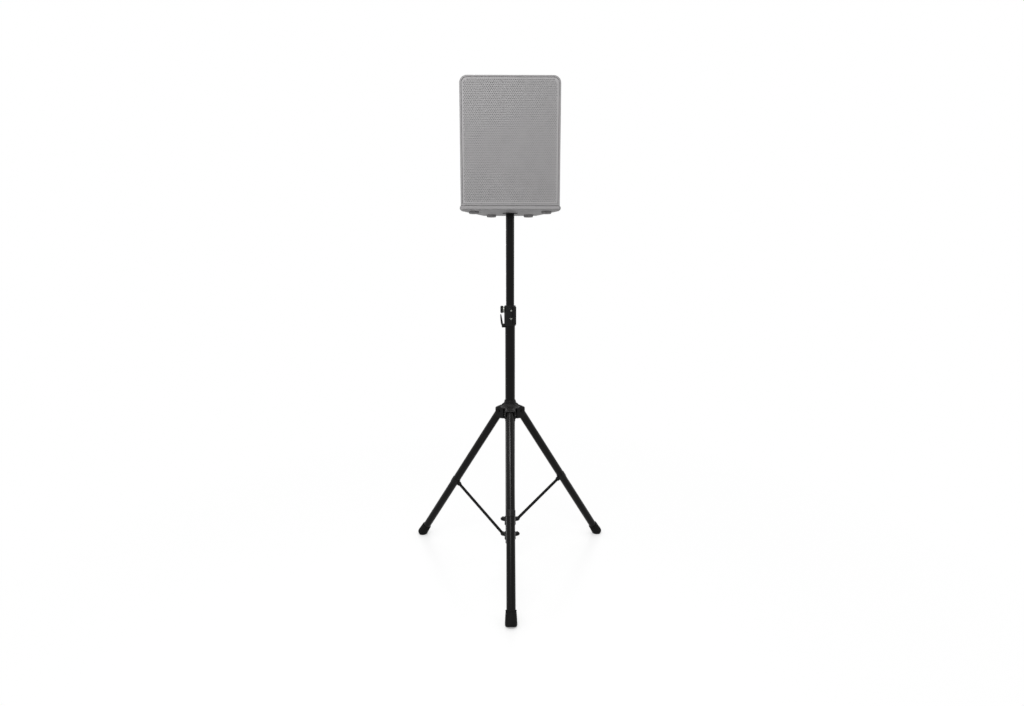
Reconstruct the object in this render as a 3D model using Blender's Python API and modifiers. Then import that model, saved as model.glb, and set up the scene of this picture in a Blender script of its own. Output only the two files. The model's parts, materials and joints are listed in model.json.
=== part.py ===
"""Two-way loudspeaker on a folding tripod stand, one named object for each piece. Metres, +Z up."""

import math

import bmesh
import bpy
from mathutils import Matrix

# Room left between pieces that touch, and the fit of a pin in its hole
GAP = 0.0003
PIN_FIT = 0.0003

# Tubes of the stand
POLE_R = 0.0175
POLE_WALL = 0.0016
MAST_R = 0.021
MAST_WALL = 0.0016
LEG_R = 0.0175
LEG_WALL = 0.0014
POLE_BOTTOM = 0.790
POLE_TOP = 1.588
MAST_BOTTOM = 0.078
MAST_TOP = 1.140
MAST_BORE_R = MAST_R + GAP

# Legs: three, folding about bolts in the hub, whose height follows from them
LEG_ANGLE = math.radians(33.65)
HUB_PIVOT_R = 0.048
LEG_LENGTH = 0.8229
HUB_PIVOT_Z = LEG_LENGTH * math.cos(LEG_ANGLE)
LEG_TUBE_START = 0.004
BOOT_LENGTH = 0.0584
BOOT_TOP_R = 0.0207
BOOT_R = 0.0229
BOOT_FLOOR = 0.0204
AZIMUTHS = {
    "front": math.radians(-90),
    "right": math.radians(30),
    "left": math.radians(150),
}
FOOT_CIRCLE = HUB_PIVOT_R + LEG_LENGTH * math.sin(LEG_ANGLE)

# The mast stands behind the middle of the footprint, whose front foot reaches twice as far
MAST_Y = (FOOT_CIRCLE - BOOT_R / 2) / 4

# Struts: flat bars from a bracket on each leg to a ring on the mast
FOLDED_ANGLE = math.radians(3.5)
STRUT_OFFSET = 0.025
STRUT_HALF_WIDTH = 0.007
STRUT_THICK = 0.004
STRUT_SLOT = 0.0052
LUG_THICK = 0.0132
LUG_R = 0.008
RING_PIVOT_R = 0.039
RING_R = 0.0255
LOWER_RING_RISE = 0.031
RING_SPACING = 0.072
LOWER_RING_Z = MAST_BOTTOM + LOWER_RING_RISE
UPPER_RING_Z = LOWER_RING_Z + RING_SPACING
RING_HEIGHTS = {"upper": 0.034, "lower": 0.030}
UPPER_STRUT_DOWN = 0.415
RIVET_R = 0.003

# Hub, measured from the bolts that the legs turn on
LUG_WIDTH = 0.043
LUG_SLOT = 0.0366
HUB_DROP = 0.031
SHOULDER_RISE = 0.0385
LUG_OUTER_RISE = 0.0160
KNOB_DROP = 0.013
HUB_BOTTOM = HUB_PIVOT_Z - HUB_DROP
HUB_SHOULDER = HUB_PIVOT_Z + SHOULDER_RISE
LUG_OUTER_Z = HUB_PIVOT_Z + LUG_OUTER_RISE
KNOB_Z = HUB_PIVOT_Z - KNOB_DROP
LUG_OUTER_R = 0.064
LUG_INNER_R = 0.027
ROOF = 0.0045
# The hoods' roofs sweep up to the shoulder: distance from the mast, share of the rise
ROOF_SWEEP = ((0.0475, 0.29), (0.0385, 0.49), (0.0315, 0.76))
HUB_SLEEVE_R = 0.0267
BOLT_R = 0.004

# Height clamp at the top of the mast
COLLAR_R = 0.025
COLLAR_HEIGHT = 0.0825
COLLAR_RISE = 0.0025
COLLAR_TOP = MAST_TOP + COLLAR_RISE
COLLAR_BOTTOM = COLLAR_TOP - COLLAR_HEIGHT
LINER_RIM = 0.0033
LEVER_X = -0.0305
LEVER_DROP = 0.0015
LEVER_Z = COLLAR_BOTTOM - LEVER_DROP
LEVER_WIDTH = 0.012
LOCK_PIN_DROP = 0.0135
LOCK_PIN_Z = COLLAR_TOP - LOCK_PIN_DROP
LOCK_PIN_R = 0.004

# Loudspeaker cabinet, measured from the pole's axis and from its own bottom
SOCKET_DEPTH = 0.062
SPEAKER_Z = POLE_TOP - SOCKET_DEPTH
CAB_HALF_W = 0.191
CAB_HEIGHT = 0.491
CAB_FRONT = -0.160
CAB_TAPER_FROM = -0.095
CAB_REAR = 0.130
CAB_REAR_HALF_W = 0.112
CAB_WALL = 0.007
CAB_CORNER = 0.028
CAP_HEIGHT = 0.015
CAP_OUT = 0.0045
BAFFLE_FRONT = -0.140
BAFFLE_THICK = 0.012
HORN_R = 0.074
HORN_DROP = 0.096
HORN_THROAT = 0.0126
MAGNET_R = 0.062
WOOFER_RISE = 0.040
DRIVER_SPACING = 0.025
HORN_Z = CAB_HEIGHT - HORN_DROP
WOOFER_R = (HORN_Z - HORN_R - DRIVER_SPACING - WOOFER_RISE) / 2
WOOFER_Z = WOOFER_RISE + WOOFER_R
HANDLE_Z = 0.300
CUP_HALF_LENGTH = 0.065
CUP_HALF_HEIGHT = 0.044
CUP_DEPTH = 0.050
CUP_WALL = 0.004
CUP_FLOOR = 0.003
CUP_RIM = 0.011
CUP_CORNER = 0.012
CUP_FIT = 0.0005
FOOT_FRONT = (0.1445, -0.086)
FOOT_REAR = (0.079, 0.083)

# Finishes: colour, roughness, metallic
POWDER_COAT = ((0.010, 0.010, 0.011), 0.42, 0.0)
BLACK_NYLON = ((0.013, 0.013, 0.014), 0.50, 0.0)
RUBBER = ((0.012, 0.012, 0.012), 0.75, 0.0)
GREY_RUBBER = ((0.15, 0.15, 0.15), 0.75, 0.0)
ZINC = ((0.45, 0.45, 0.44), 0.35, 1.0)
GREY_SHELL = ((0.29, 0.28, 0.285), 0.55, 0.0)
GREY_STEEL = ((0.26, 0.255, 0.26), 0.45, 0.0)
FOAM = ((0.10, 0.10, 0.10), 0.95, 0.0)
PAPER = ((0.02, 0.02, 0.02), 0.85, 0.0)
FERRITE = ((0.05, 0.05, 0.055), 0.6, 0.0)
BOARD = ((0.05, 0.16, 0.07), 0.6, 0.0)

for old in list(bpy.data.objects):
    bpy.data.objects.remove(old, do_unlink=True)


def new_collection(name):
    collection = bpy.data.collections.new(name)
    bpy.context.scene.collection.children.link(collection)
    return collection


PARTS = new_collection("speaker_on_stand")
CUTTERS = new_collection("cutters")


def frame(name, location=(0, 0, 0), rotation=(0, 0, 0), parent=None):
    """An empty that carries pieces, set on the axis that they turn about."""
    empty = bpy.data.objects.new(name, None)
    empty.location = location
    empty.rotation_euler = rotation
    empty.parent = parent
    PARTS.objects.link(empty)
    return empty


def add(name, mesh, parent, location=(0, 0, 0), rotation=(0, 0, 0)):
    piece = bpy.data.objects.new(name, mesh)
    piece.parent = parent
    piece.location = location
    piece.rotation_euler = rotation
    PARTS.objects.link(piece)
    return piece


def finish(piece, look):
    """Gives a piece its own material and smooth shading with crisp edges."""
    colour, roughness, metallic = look
    material = bpy.data.materials.new(piece.name + "_finish")
    material.use_nodes = True
    shader = material.node_tree.nodes["Principled BSDF"]
    shader.inputs["Base Color"].default_value = (*colour, 1)
    shader.inputs["Roughness"].default_value = roughness
    shader.inputs["Metallic"].default_value = metallic
    piece.data.materials.clear()
    piece.data.materials.append(material)
    if isinstance(piece.data, bpy.types.Mesh):
        piece.data.shade_smooth()
        piece.data.set_sharp_from_angle(angle=math.radians(35))
    return piece


def boolean(piece, other, operation):
    """Cuts a piece with another, or joins or intersects them. The other one becomes a cutter."""
    modifier = piece.modifiers.new(operation.lower(), "BOOLEAN")
    modifier.operation = operation
    modifier.object = other
    other.hide_render = True
    other.display_type = "WIRE"
    PARTS.objects.unlink(other)
    CUTTERS.objects.link(other)
    return piece


def cut(piece, other):
    return boolean(piece, other, "DIFFERENCE")


def join(piece, other):
    return boolean(piece, other, "UNION")


def box(name, low, high, parent):
    """A box between two corners."""
    sides = [b - a for a, b in zip(low, high)]
    middle = [(a + b) / 2 for a, b in zip(low, high)]
    shape = bmesh.new()
    bmesh.ops.create_cube(shape, size=1, matrix=Matrix.Diagonal((*sides, 1)))
    mesh = bpy.data.meshes.new(name)
    shape.to_mesh(mesh)
    shape.free()
    return add(name, mesh, parent, middle)


def rod(name, radius, start, end, parent, along="Z", at=(0, 0, 0), sides=24):
    """A plain cylinder along one axis, from start to end on that axis."""
    turns = {"X": Matrix.Rotation(math.pi / 2, 4, "Y"), "Y": Matrix.Rotation(-math.pi / 2, 4, "X")}
    turn = turns.get(along, Matrix.Identity(4))
    middle = Matrix.Translation((0, 0, (start + end) / 2))
    shape = bmesh.new()
    bmesh.ops.create_cone(
        shape,
        cap_ends=True,
        segments=sides,
        radius1=radius,
        radius2=radius,
        depth=end - start,
        matrix=turn @ middle,
    )
    mesh = bpy.data.meshes.new(name)
    shape.to_mesh(mesh)
    shape.free()
    return add(name, mesh, parent, at)


def turned(name, profile, parent, at=(0, 0, 0), rotation=(0, 0, 0), closed=True, sides=24):
    """A lathe shape from (radius, height) points that run down its outer side."""
    points = [(radius, 0, height) for radius, height in profile]
    edges = [(i, i + 1) for i in range(len(points) - 1)]
    if closed:
        edges.append((len(points) - 1, 0))
    mesh = bpy.data.meshes.new(name)
    mesh.from_pydata(points, edges, [])
    piece = add(name, mesh, parent, at, rotation)
    screw = piece.modifiers.new("turn", "SCREW")
    screw.steps = sides
    screw.render_steps = sides
    screw.use_merge_vertices = True
    screw.merge_threshold = 0.00001
    screw.use_smooth_shade = True
    return piece


def ring(name, outer, inner, bottom, top, parent, at=(0, 0, 0), rotation=(0, 0, 0), sides=24):
    """A plain tube."""
    profile = [(outer, top), (outer, bottom), (inner, bottom), (inner, top)]
    return turned(name, profile, parent, at, rotation, sides=sides)


def plate(name, outlines, thick, parent, at=(0, 0, 0), rotation=(0, 0, 0)):
    """A flat piece from outlines in its own XY plane, the later ones holes in the first."""
    curve = bpy.data.curves.new(name, "CURVE")
    curve.dimensions = "2D"
    curve.fill_mode = "BOTH"
    curve.extrude = thick / 2
    for outline in outlines:
        spline = curve.splines.new("POLY")
        spline.points.add(len(outline) - 1)
        for point, (x, y) in zip(spline.points, outline):
            point.co = (x, y, 0, 1)
        spline.use_cyclic_u = True
    drawn = add(name + "_outline", curve, parent)
    bpy.context.view_layer.update()
    evaluated = drawn.evaluated_get(bpy.context.evaluated_depsgraph_get())
    mesh = bpy.data.meshes.new_from_object(evaluated)
    bpy.data.objects.remove(drawn, do_unlink=True)
    shape = bmesh.new()
    shape.from_mesh(mesh)
    bmesh.ops.remove_doubles(shape, verts=shape.verts, dist=0.000001)
    bmesh.ops.recalc_face_normals(shape, faces=shape.faces)
    shape.to_mesh(mesh)
    shape.free()
    mesh.name = name
    return add(name, mesh, parent, at, rotation)


def arc(x, y, radius, start, end, steps):
    """Points of an arc, angles in degrees."""
    angles = [math.radians(start + (end - start) * i / steps) for i in range(steps + 1)]
    return [(x + radius * math.cos(angle), y + radius * math.sin(angle)) for angle in angles]


def bevel(piece, width, segments=1, angle=50):
    modifier = piece.modifiers.new("edges", "BEVEL")
    modifier.width = width
    modifier.segments = segments
    modifier.limit_method = "ANGLE"
    modifier.angle_limit = math.radians(angle)
    return piece


def leg_point(down, inward, angle, lift=0.0):
    """Radius and height of a point on a leg, by its distance down the leg and towards the mast."""
    radius = HUB_PIVOT_R + down * math.sin(angle) - inward * math.cos(angle)
    height = HUB_PIVOT_Z + lift - down * math.cos(angle) - inward * math.sin(angle)
    return radius, height


def strut_length(down, ring_z, angle, lift=0.0):
    radius, height = leg_point(down, STRUT_OFFSET, angle, lift)
    return math.hypot(radius - RING_PIVOT_R, height - ring_z)


def hub_travel():
    """How far the hub slides up the mast as the legs fold, from the strut of the upper ring."""
    length = strut_length(UPPER_STRUT_DOWN, UPPER_RING_Z, LEG_ANGLE)
    radius, height = leg_point(UPPER_STRUT_DOWN, STRUT_OFFSET, FOLDED_ANGLE)
    return math.sqrt(length**2 - (radius - RING_PIVOT_R) ** 2) - (height - UPPER_RING_Z)


HUB_TRAVEL = hub_travel()


def lower_strut_down():
    """Where the strut of the lower ring meets its leg, so that it folds over the same travel."""
    low, high = 0.40, 0.50
    for _ in range(60):
        middle = (low + high) / 2
        open_length = strut_length(middle, LOWER_RING_Z, LEG_ANGLE)
        shut_length = strut_length(middle, LOWER_RING_Z, FOLDED_ANGLE, HUB_TRAVEL)
        if shut_length > open_length:
            low = middle
        else:
            high = middle
    return low


STRUTS = {
    "front": (UPPER_STRUT_DOWN, UPPER_RING_Z),
    "right": (UPPER_STRUT_DOWN, UPPER_RING_Z),
    "left": (lower_strut_down(), LOWER_RING_Z),
}

stand = frame("stand_axis", (0, MAST_Y, 0))
pole_axis = frame("pole_axis", parent=stand)
hub_axis = frame("hub_axis", parent=stand)
speaker = frame("speaker_axis", (0, 0, SPEAKER_Z), parent=pole_axis)
ALONG_Y = (math.pi / 2, 0, 0)
ALONG_X = (0, math.pi / 2, 0)


def lug_outline(start, pivot, radius):
    """An arm with a round end about its pivot."""
    return [(start, -radius), *arc(pivot, 0, radius, -90, 90, 5), (start, radius)]


def bolt_profile(half, shank, head, head_thick):
    """A shank between two heads, drawn from its middle."""
    end = half + head_thick
    return [(0, end), (head, end), (head, half), (shank, half), (shank, -half), (head, -half), (head, -end), (0, -end)]


def make_mast():
    tube = ring("mast_tube", MAST_R, MAST_R - MAST_WALL, MAST_BOTTOM, MAST_TOP, stand, sides=32)
    cut(tube, rod("mast_pin_hole", LOCK_PIN_R + PIN_FIT, -0.03, 0, stand, "X", (0, 0, LOCK_PIN_Z), 16))
    finish(tube, POWDER_COAT)
    bore = MAST_R - MAST_WALL - GAP
    plug = [
        (bore - 0.001, MAST_BOTTOM + 0.022),
        (bore, MAST_BOTTOM + 0.020),
        (bore, MAST_BOTTOM - GAP),
        (MAST_R, MAST_BOTTOM - GAP),
        (MAST_R, MAST_BOTTOM - 0.0025),
        (MAST_R - 0.001, MAST_BOTTOM - 0.0035),
        (0, MAST_BOTTOM - 0.0035),
    ]
    finish(turned("mast_end_plug", [(0, MAST_BOTTOM + 0.022), *plug], stand, closed=False), BLACK_NYLON)


def make_brace_ring(name, height):
    """A moulded ring on the mast with three forked lugs, each with its rivet heads."""
    z = {"upper": UPPER_RING_Z, "lower": LOWER_RING_Z}[name]
    half = height / 2
    profile = [
        (RING_R - 0.0015, half),
        (RING_R, half - 0.0015),
        (RING_R, 0.0015 - half),
        (RING_R - 0.0015, -half),
        (MAST_BORE_R, -half),
        (MAST_BORE_R, half),
    ]
    band = turned(name + "_brace_ring", profile, stand, (0, 0, z))
    for side, azimuth in AZIMUTHS.items():
        arm = frame(f"{name}_ring_arm_{side}", (0, 0, z), (0, 0, azimuth), stand)
        outline = lug_outline(0.0232, RING_PIVOT_R, LUG_R)
        join(band, plate(f"{name}_lug_{side}", [outline], LUG_THICK, arm, rotation=ALONG_Y))
        heads = LUG_THICK / 2 + 0.002
        join(band, rod(f"{name}_rivet_{side}", 0.0045, -heads, heads, arm, "Y", (RING_PIVOT_R, 0, 0), 10))
        low = (RING_R + 0.0006, -STRUT_SLOT / 2, -0.03)
        high = (0.06, STRUT_SLOT / 2, 0.03)
        cut(band, box(f"{name}_slot_{side}", low, high, arm))
    finish(band, BLACK_NYLON)


def make_hub():
    """The sliding hub: a sleeve with three hooded forks for the legs."""
    hub = ring("leg_hub", HUB_SLEEVE_R, MAST_BORE_R, HUB_BOTTOM - 0.001, HUB_SHOULDER, hub_axis)
    crest = HUB_SHOULDER - 0.0012
    rise = crest - LUG_OUTER_Z
    sweep = [(radius, LUG_OUTER_Z + share * rise) for radius, share in ROOF_SWEEP]
    inside = HUB_SLEEVE_R + 0.002
    reach = 0.09
    hood = [
        (0.0225, HUB_BOTTOM),
        (LUG_OUTER_R - 0.010, HUB_BOTTOM),
        (LUG_OUTER_R, HUB_BOTTOM + 0.013),
        (LUG_OUTER_R, LUG_OUTER_Z),
        *sweep,
        (LUG_INNER_R, crest),
        (0.0225, crest),
    ]
    bend, bend_z = sweep[0]
    pocket = [
        (inside, HUB_BOTTOM - 0.02),
        (reach, HUB_BOTTOM - 0.02),
        (reach, LUG_OUTER_Z - ROOF),
        (LUG_OUTER_R + 0.002, LUG_OUTER_Z - ROOF),
        (bend, bend_z - ROOF),
        (inside, bend_z - ROOF + 0.4 * (bend - inside)),
    ]

    # A skirt fills in between the hoods, a little under their roofs
    under = 0.0012
    rim, rim_z = 0.0425, (sweep[0][1] + sweep[1][1]) / 2 - under
    skirt = [
        (0.0245, crest - under),
        (LUG_INNER_R - 0.0004, crest - under),
        *[(radius, z - under) for radius, z in sweep[:0:-1]],
        (rim, rim_z),
        (rim, rim_z - 0.003),
        (0.0245, rim_z - 0.012),
    ]
    join(hub, turned("hub_skirt", skirt, hub_axis))
    arms = {}
    for side, azimuth in AZIMUTHS.items():
        arms[side] = frame(f"hub_arm_{side}", (0, 0, 0), (0, 0, azimuth), hub_axis)
        lug = plate(f"hub_lug_{side}", [hood], LUG_WIDTH, arms[side], rotation=ALONG_Y)
        join(hub, bevel(lug, 0.0022))
    join(hub, rod("hub_knob_boss", 0.011, 0.023, 0.034, hub_axis, "Y", (0, 0, KNOB_Z), 20))
    for side, arm in arms.items():
        cut(hub, plate(f"hub_pocket_{side}", [pocket], LUG_SLOT, arm, rotation=ALONG_Y))
        at = (HUB_PIVOT_R, 0, HUB_PIVOT_Z)
        cut(hub, rod(f"hub_bolt_hole_{side}", BOLT_R + PIN_FIT, -0.03, 0.03, arm, "Y", at, 12))
        profile = bolt_profile(LUG_WIDTH / 2 + GAP, BOLT_R, 0.0068, 0.004)
        bolt = turned(f"leg_bolt_{side}", profile, arm, at, ALONG_Y, closed=False, sides=12)
        finish(bolt, POWDER_COAT)
    cut(hub, rod("hub_stud_hole", 0.0043, 0.015, 0.04, hub_axis, "Y", (0, 0, KNOB_Z), 16))
    finish(hub, BLACK_NYLON)
    top = HUB_SHOULDER + 0.013
    cone = [(0.0235, top), (0.0243, top - 0.001), (0.027, HUB_SHOULDER + GAP), (MAST_BORE_R, HUB_SHOULDER + GAP)]
    finish(turned("hub_top_ring", [*cone, (MAST_BORE_R, top)], hub_axis), BLACK_NYLON)
    knob = [
        (0, 0.0580),
        (0.014, 0.0580),
        (0.0185, 0.0555),
        (0.0195, 0.0515),
        (0.0195, 0.0425),
        (0.0165, 0.0395),
        (0.009, 0.0390),
        (0.009, 0.0345),
        (0.004, 0.0345),
        (0.004, 0.0216),
        (0, 0.0216),
    ]
    knob_axis = frame("hub_knob_axis", (0, 0, KNOB_Z), (-math.pi / 2, 0, 0), hub_axis)
    finish(turned("hub_clamp_knob", knob, knob_axis, closed=False, sides=20), BLACK_NYLON)


def make_leg(side, azimuth, ground):
    down, ring_z = STRUTS[side]
    across = HUB_PIVOT_R * math.cos(azimuth)
    along = HUB_PIVOT_R * math.sin(azimuth)
    leg = frame(f"leg_axis_{side}", (across, along, HUB_PIVOT_Z), (0, -LEG_ANGLE, azimuth), hub_axis)
    tube_end = -(LEG_LENGTH - BOOT_FLOOR)
    tube = ring(f"leg_tube_{side}", LEG_R, LEG_R - LEG_WALL, tube_end, -LEG_TUBE_START, leg, sides=32)
    finish(tube, POWDER_COAT)

    # The plug in the top of the tube carries the eye that the bolt passes through
    neck = -LEG_TUBE_START + GAP
    eye = [(-0.0125, neck), (0.0125, neck), *arc(0, 0, 0.0125, 0, 180, 12)]
    plug = plate(f"leg_top_plug_{side}", [eye], LUG_SLOT - 0.002, leg, rotation=ALONG_Y)
    join(plug, rod(f"plug_shank_{side}", LEG_R - LEG_WALL - GAP, -0.034, neck + 0.002, leg))
    cut(plug, rod(f"plug_hole_{side}", BOLT_R + PIN_FIT, -0.03, 0.03, leg, "Y", sides=16))
    finish(plug, BLACK_NYLON)

    # The boot's sole is cut flat where it stands on the ground
    top = BOOT_LENGTH - LEG_LENGTH
    low = -LEG_LENGTH
    bore = LEG_R + GAP
    profile = [
        (0, tube_end - GAP),
        (bore, tube_end - GAP),
        (bore, top),
        (BOOT_TOP_R - 0.0006, top),
        (BOOT_TOP_R, top - 0.0015),
        (BOOT_R, low + 0.016),
        (BOOT_R, low + 0.009),
        (BOOT_R - 0.0016, low + 0.0035),
        (BOOT_R - 0.005, low + 0.0008),
        (BOOT_R - 0.0085, low),
        (0, low),
    ]
    boot = turned(f"foot_boot_{side}", profile, leg, closed=False, sides=24)
    modifier = boot.modifiers.new("flat", "BOOLEAN")
    modifier.operation = "DIFFERENCE"
    modifier.object = ground
    finish(boot, RUBBER)

    # The bracket clasps the tube, and the strut's eye turns between its cheeks
    at = (0, 0, -down)
    seat = frame(f"bracket_seat_{side}", at, parent=leg)
    bracket = rod(f"strut_bracket_{side}", 0.0193, -0.013, 0.013, seat)
    outline = [(-x, y) for x, y in lug_outline(0.0165, STRUT_OFFSET, LUG_R)][::-1]
    join(bracket, plate(f"bracket_lug_{side}", [outline], LUG_THICK, seat, rotation=ALONG_Y))
    cut(bracket, rod(f"bracket_bore_{side}", LEG_R + GAP, -0.03, 0.03, seat))
    cut(bracket, box(f"bracket_slot_{side}", (-0.05, -STRUT_SLOT / 2, -0.02), (-0.012, STRUT_SLOT / 2, 0.02), seat))
    hole_at = (-STRUT_OFFSET, 0, 0)
    cut(bracket, rod(f"bracket_hole_{side}", RIVET_R + PIN_FIT, -0.02, 0.02, seat, "Y", hole_at, 12))
    finish(bracket, BLACK_NYLON)
    rivet = bolt_profile(LUG_THICK / 2 + GAP, RIVET_R, 0.0048, 0.002)
    finish(turned(f"strut_rivet_{side}", rivet, seat, hole_at, ALONG_Y, closed=False, sides=10), POWDER_COAT)

    # The strut hangs from the rivet and ends between the cheeks of a ring on the mast
    radius, height = leg_point(down, STRUT_OFFSET, LEG_ANGLE)
    lean = math.atan2(radius - RING_PIVOT_R, height - ring_z)
    length = math.hypot(radius - RING_PIVOT_R, height - ring_z)
    swing = frame(f"strut_axis_{side}", (-STRUT_OFFSET, 0, -down), (0, lean + LEG_ANGLE, 0), leg)
    half = STRUT_HALF_WIDTH
    outline = [*arc(0, 0, half, 0, 180, 8), *arc(0, -length, half, 180, 360, 8)]
    hole = arc(0, 0, RIVET_R + PIN_FIT, 0, 330, 11)
    strut = plate(f"strut_{side}", [outline, hole], STRUT_THICK, swing, rotation=ALONG_Y)
    finish(strut, POWDER_COAT)


def make_height_clamp():
    """The collar at the top of the mast, with its lever and its locking pin."""
    profile = [
        (0, COLLAR_TOP),
        (COLLAR_R - 0.0012, COLLAR_TOP),
        (COLLAR_R, COLLAR_TOP - 0.0015),
        (COLLAR_R, COLLAR_BOTTOM + 0.003),
        (COLLAR_R - 0.001, COLLAR_BOTTOM),
        (0, COLLAR_BOTTOM),
    ]
    collar = turned("height_collar", profile, stand, closed=False)
    flange = box("collar_flange", (0.012, -0.0252, COLLAR_BOTTOM + 0.0065), (0.0258, -0.008, COLLAR_TOP - 0.001), stand)
    join(collar, bevel(flange, 0.0015))
    low = (LEVER_X - 0.005, -0.0105, LEVER_Z - 0.006)
    high = (-0.012, 0.0105, LEVER_Z + 0.0095)
    join(collar, bevel(box("collar_cheeks", low, high, stand), 0.002))
    reach = LEVER_WIDTH / 2 + 0.0004
    low = (LEVER_X - 0.03, -reach, LEVER_Z - 0.0165)
    high = (-COLLAR_R + 0.0001, reach, LEVER_Z + 0.0235)
    cut(collar, box("collar_lever_slot", low, high, stand))
    cut(collar, rod("collar_bore", MAST_BORE_R, COLLAR_BOTTOM - 0.028, COLLAR_TOP + 0.02, stand))
    at = (LEVER_X, 0, LEVER_Z)
    cut(collar, rod("collar_lever_hole", 0.002 + PIN_FIT, -0.02, 0.02, stand, "Y", at, 12))
    cut(collar, rod("collar_barrel_hole", 0.0078, -0.04, -0.01, stand, "X", (0, 0, LOCK_PIN_Z), 20))
    finish(collar, BLACK_NYLON)
    pin = bolt_profile(0.0105 + GAP, 0.002, 0.0036, 0.0015)
    finish(turned("lever_pin", pin, stand, at, ALONG_Y, closed=False, sides=12), POWDER_COAT)

    # The lever curves out from its eye and stands up beside the collar
    lever_axis = frame("lever_axis", at, parent=stand)
    outer = [(-0.0066, 0.0050), (-0.0084, 0.0110), (-0.0103, 0.0260), (-0.0114, 0.0470), (-0.0108, 0.0496)]
    inner = [(-0.0080, 0.0496), (-0.0064, 0.0470), (-0.0026, 0.0270), (0.0002, 0.0120)]
    eye = arc(0, 0, 0.0046, 100, -170, 14)
    lever = plate("clamp_lever", [[*inner, *eye, *outer][::-1]], LEVER_WIDTH, lever_axis, rotation=ALONG_Y)
    cut(lever, rod("lever_eye_hole", 0.002 + PIN_FIT, -0.02, 0.02, lever_axis, "Y", sides=12))
    finish(lever, BLACK_NYLON)

    # A sleeve of the collar guides the pole
    bush_r = MAST_R - MAST_WALL - GAP
    bore = POLE_R + GAP
    rim_top = COLLAR_TOP + LINER_RIM
    liner = [
        (COLLAR_R - 0.0025, rim_top),
        (COLLAR_R - 0.0015, rim_top - 0.0008),
        (COLLAR_R - 0.0015, COLLAR_TOP + GAP),
        (bush_r, COLLAR_TOP + GAP),
        (bush_r, COLLAR_BOTTOM),
        (bore, COLLAR_BOTTOM),
        (bore, rim_top),
    ]
    sleeve = turned("collar_liner", liner, stand)
    cut(sleeve, rod("liner_pin_hole", LOCK_PIN_R + PIN_FIT, -0.03, 0, stand, "X", (0, 0, LOCK_PIN_Z), 16))
    finish(sleeve, BLACK_NYLON)

    # The pin slides in a zinc barrel, out to the left. Its knob turns with it
    pin_axis = frame("locking_pin_axis", (0, 0, LOCK_PIN_Z), (0, -math.pi / 2, 0), stand)
    fit = LOCK_PIN_R + PIN_FIT
    barrel = [
        (0.0135, 0.0297),
        (0.0140, 0.0292),
        (0.0140, COLLAR_R + GAP),
        (0.0075, COLLAR_R + GAP),
        (0.0075, 0.0216),
        (fit, 0.0216),
        (fit, 0.0297),
    ]
    finish(turned("pin_barrel", barrel, pin_axis, sides=20), ZINC)
    knob = [
        (0, 0.0412),
        (0.0115, 0.0412),
        (0.0145, 0.0398),
        (0.0155, 0.0370),
        (0.0155, 0.0318),
        (0.0140, 0.0300),
        (LOCK_PIN_R, 0.0300),
        (LOCK_PIN_R, 0.0190),
        (LOCK_PIN_R - 0.001, 0.0180),
        (0, 0.0180),
    ]
    finish(turned("locking_pin", knob, pin_axis, closed=False, sides=20), BLACK_NYLON)


def make_pole():
    """The inner pole that slides in the mast and carries the loudspeaker."""
    plug_flange = 0.003
    tube_top = POLE_TOP - plug_flange - GAP
    tube = ring("pole_tube", POLE_R, POLE_R - POLE_WALL, POLE_BOTTOM, tube_top, pole_axis, sides=32)
    for i in range(6):
        at = (0, 0, LOCK_PIN_Z + 0.030 + 0.060 * i)
        cut(tube, rod(f"pole_pin_hole_{i}", LOCK_PIN_R + 0.0005, -0.03, 0, pole_axis, "X", at, 10))
    finish(tube, POWDER_COAT)
    bore = POLE_R - POLE_WALL - GAP
    plug = [
        (0, POLE_TOP),
        (POLE_R - 0.002, POLE_TOP),
        (POLE_R, POLE_TOP - 0.002),
        (POLE_R, POLE_TOP - plug_flange),
        (bore, POLE_TOP - plug_flange),
        (bore, POLE_TOP - 0.030),
        (0, POLE_TOP - 0.030),
    ]
    finish(turned("pole_top_plug", plug, pole_axis, closed=False), BLACK_NYLON)
    guide_r = MAST_R - MAST_WALL - GAP
    guide = [
        (0, POLE_BOTTOM + 0.030),
        (bore, POLE_BOTTOM + 0.030),
        (bore, POLE_BOTTOM - GAP),
        (guide_r, POLE_BOTTOM - GAP),
        (guide_r, POLE_BOTTOM - 0.028),
        (guide_r - 0.002, POLE_BOTTOM - 0.030),
        (0, POLE_BOTTOM - 0.030),
    ]
    finish(turned("pole_guide", guide, pole_axis, closed=False), BLACK_NYLON)


def cabinet_plan(inset, front):
    """The cabinet seen from above, drawn in by its walls."""
    wide = CAB_HALF_W - inset
    lean = math.atan2(CAB_HALF_W - CAB_REAR_HALF_W, CAB_REAR - CAB_TAPER_FROM)
    slant = inset / math.cos(lean)
    rear = CAB_REAR - inset
    rear_wide = CAB_REAR_HALF_W - slant + inset * math.tan(lean)
    knee = CAB_TAPER_FROM + (inset - slant) / math.tan(lean)
    half = [(wide, front), (wide, knee), (rear_wide, rear)]
    return half + [(-x, y) for x, y in half[::-1]]


def cabinet_face(inset, bottom):
    """The cabinet seen from the front, with round top corners."""
    wide = CAB_HALF_W - inset
    top = CAB_HEIGHT - inset
    radius = CAB_CORNER - inset
    right = arc(wide - radius, top - radius, radius, 0, 90, 8)
    left = arc(radius - wide, top - radius, radius, 90, 180, 8)
    return [(-wide, bottom), (wide, bottom), *right, *left]


def cabinet_solid(name, inset, front, bottom):
    plan_height = 0.6
    solid = plate(name, [cabinet_plan(inset, front)], plan_height, speaker, (0, 0, plan_height / 2 + bottom))
    depth = 0.5
    face = plate(name + "_face", [cabinet_face(inset, bottom - 0.05)], depth, speaker, rotation=ALONG_Y)
    return boolean(solid, face, "INTERSECT")


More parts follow.
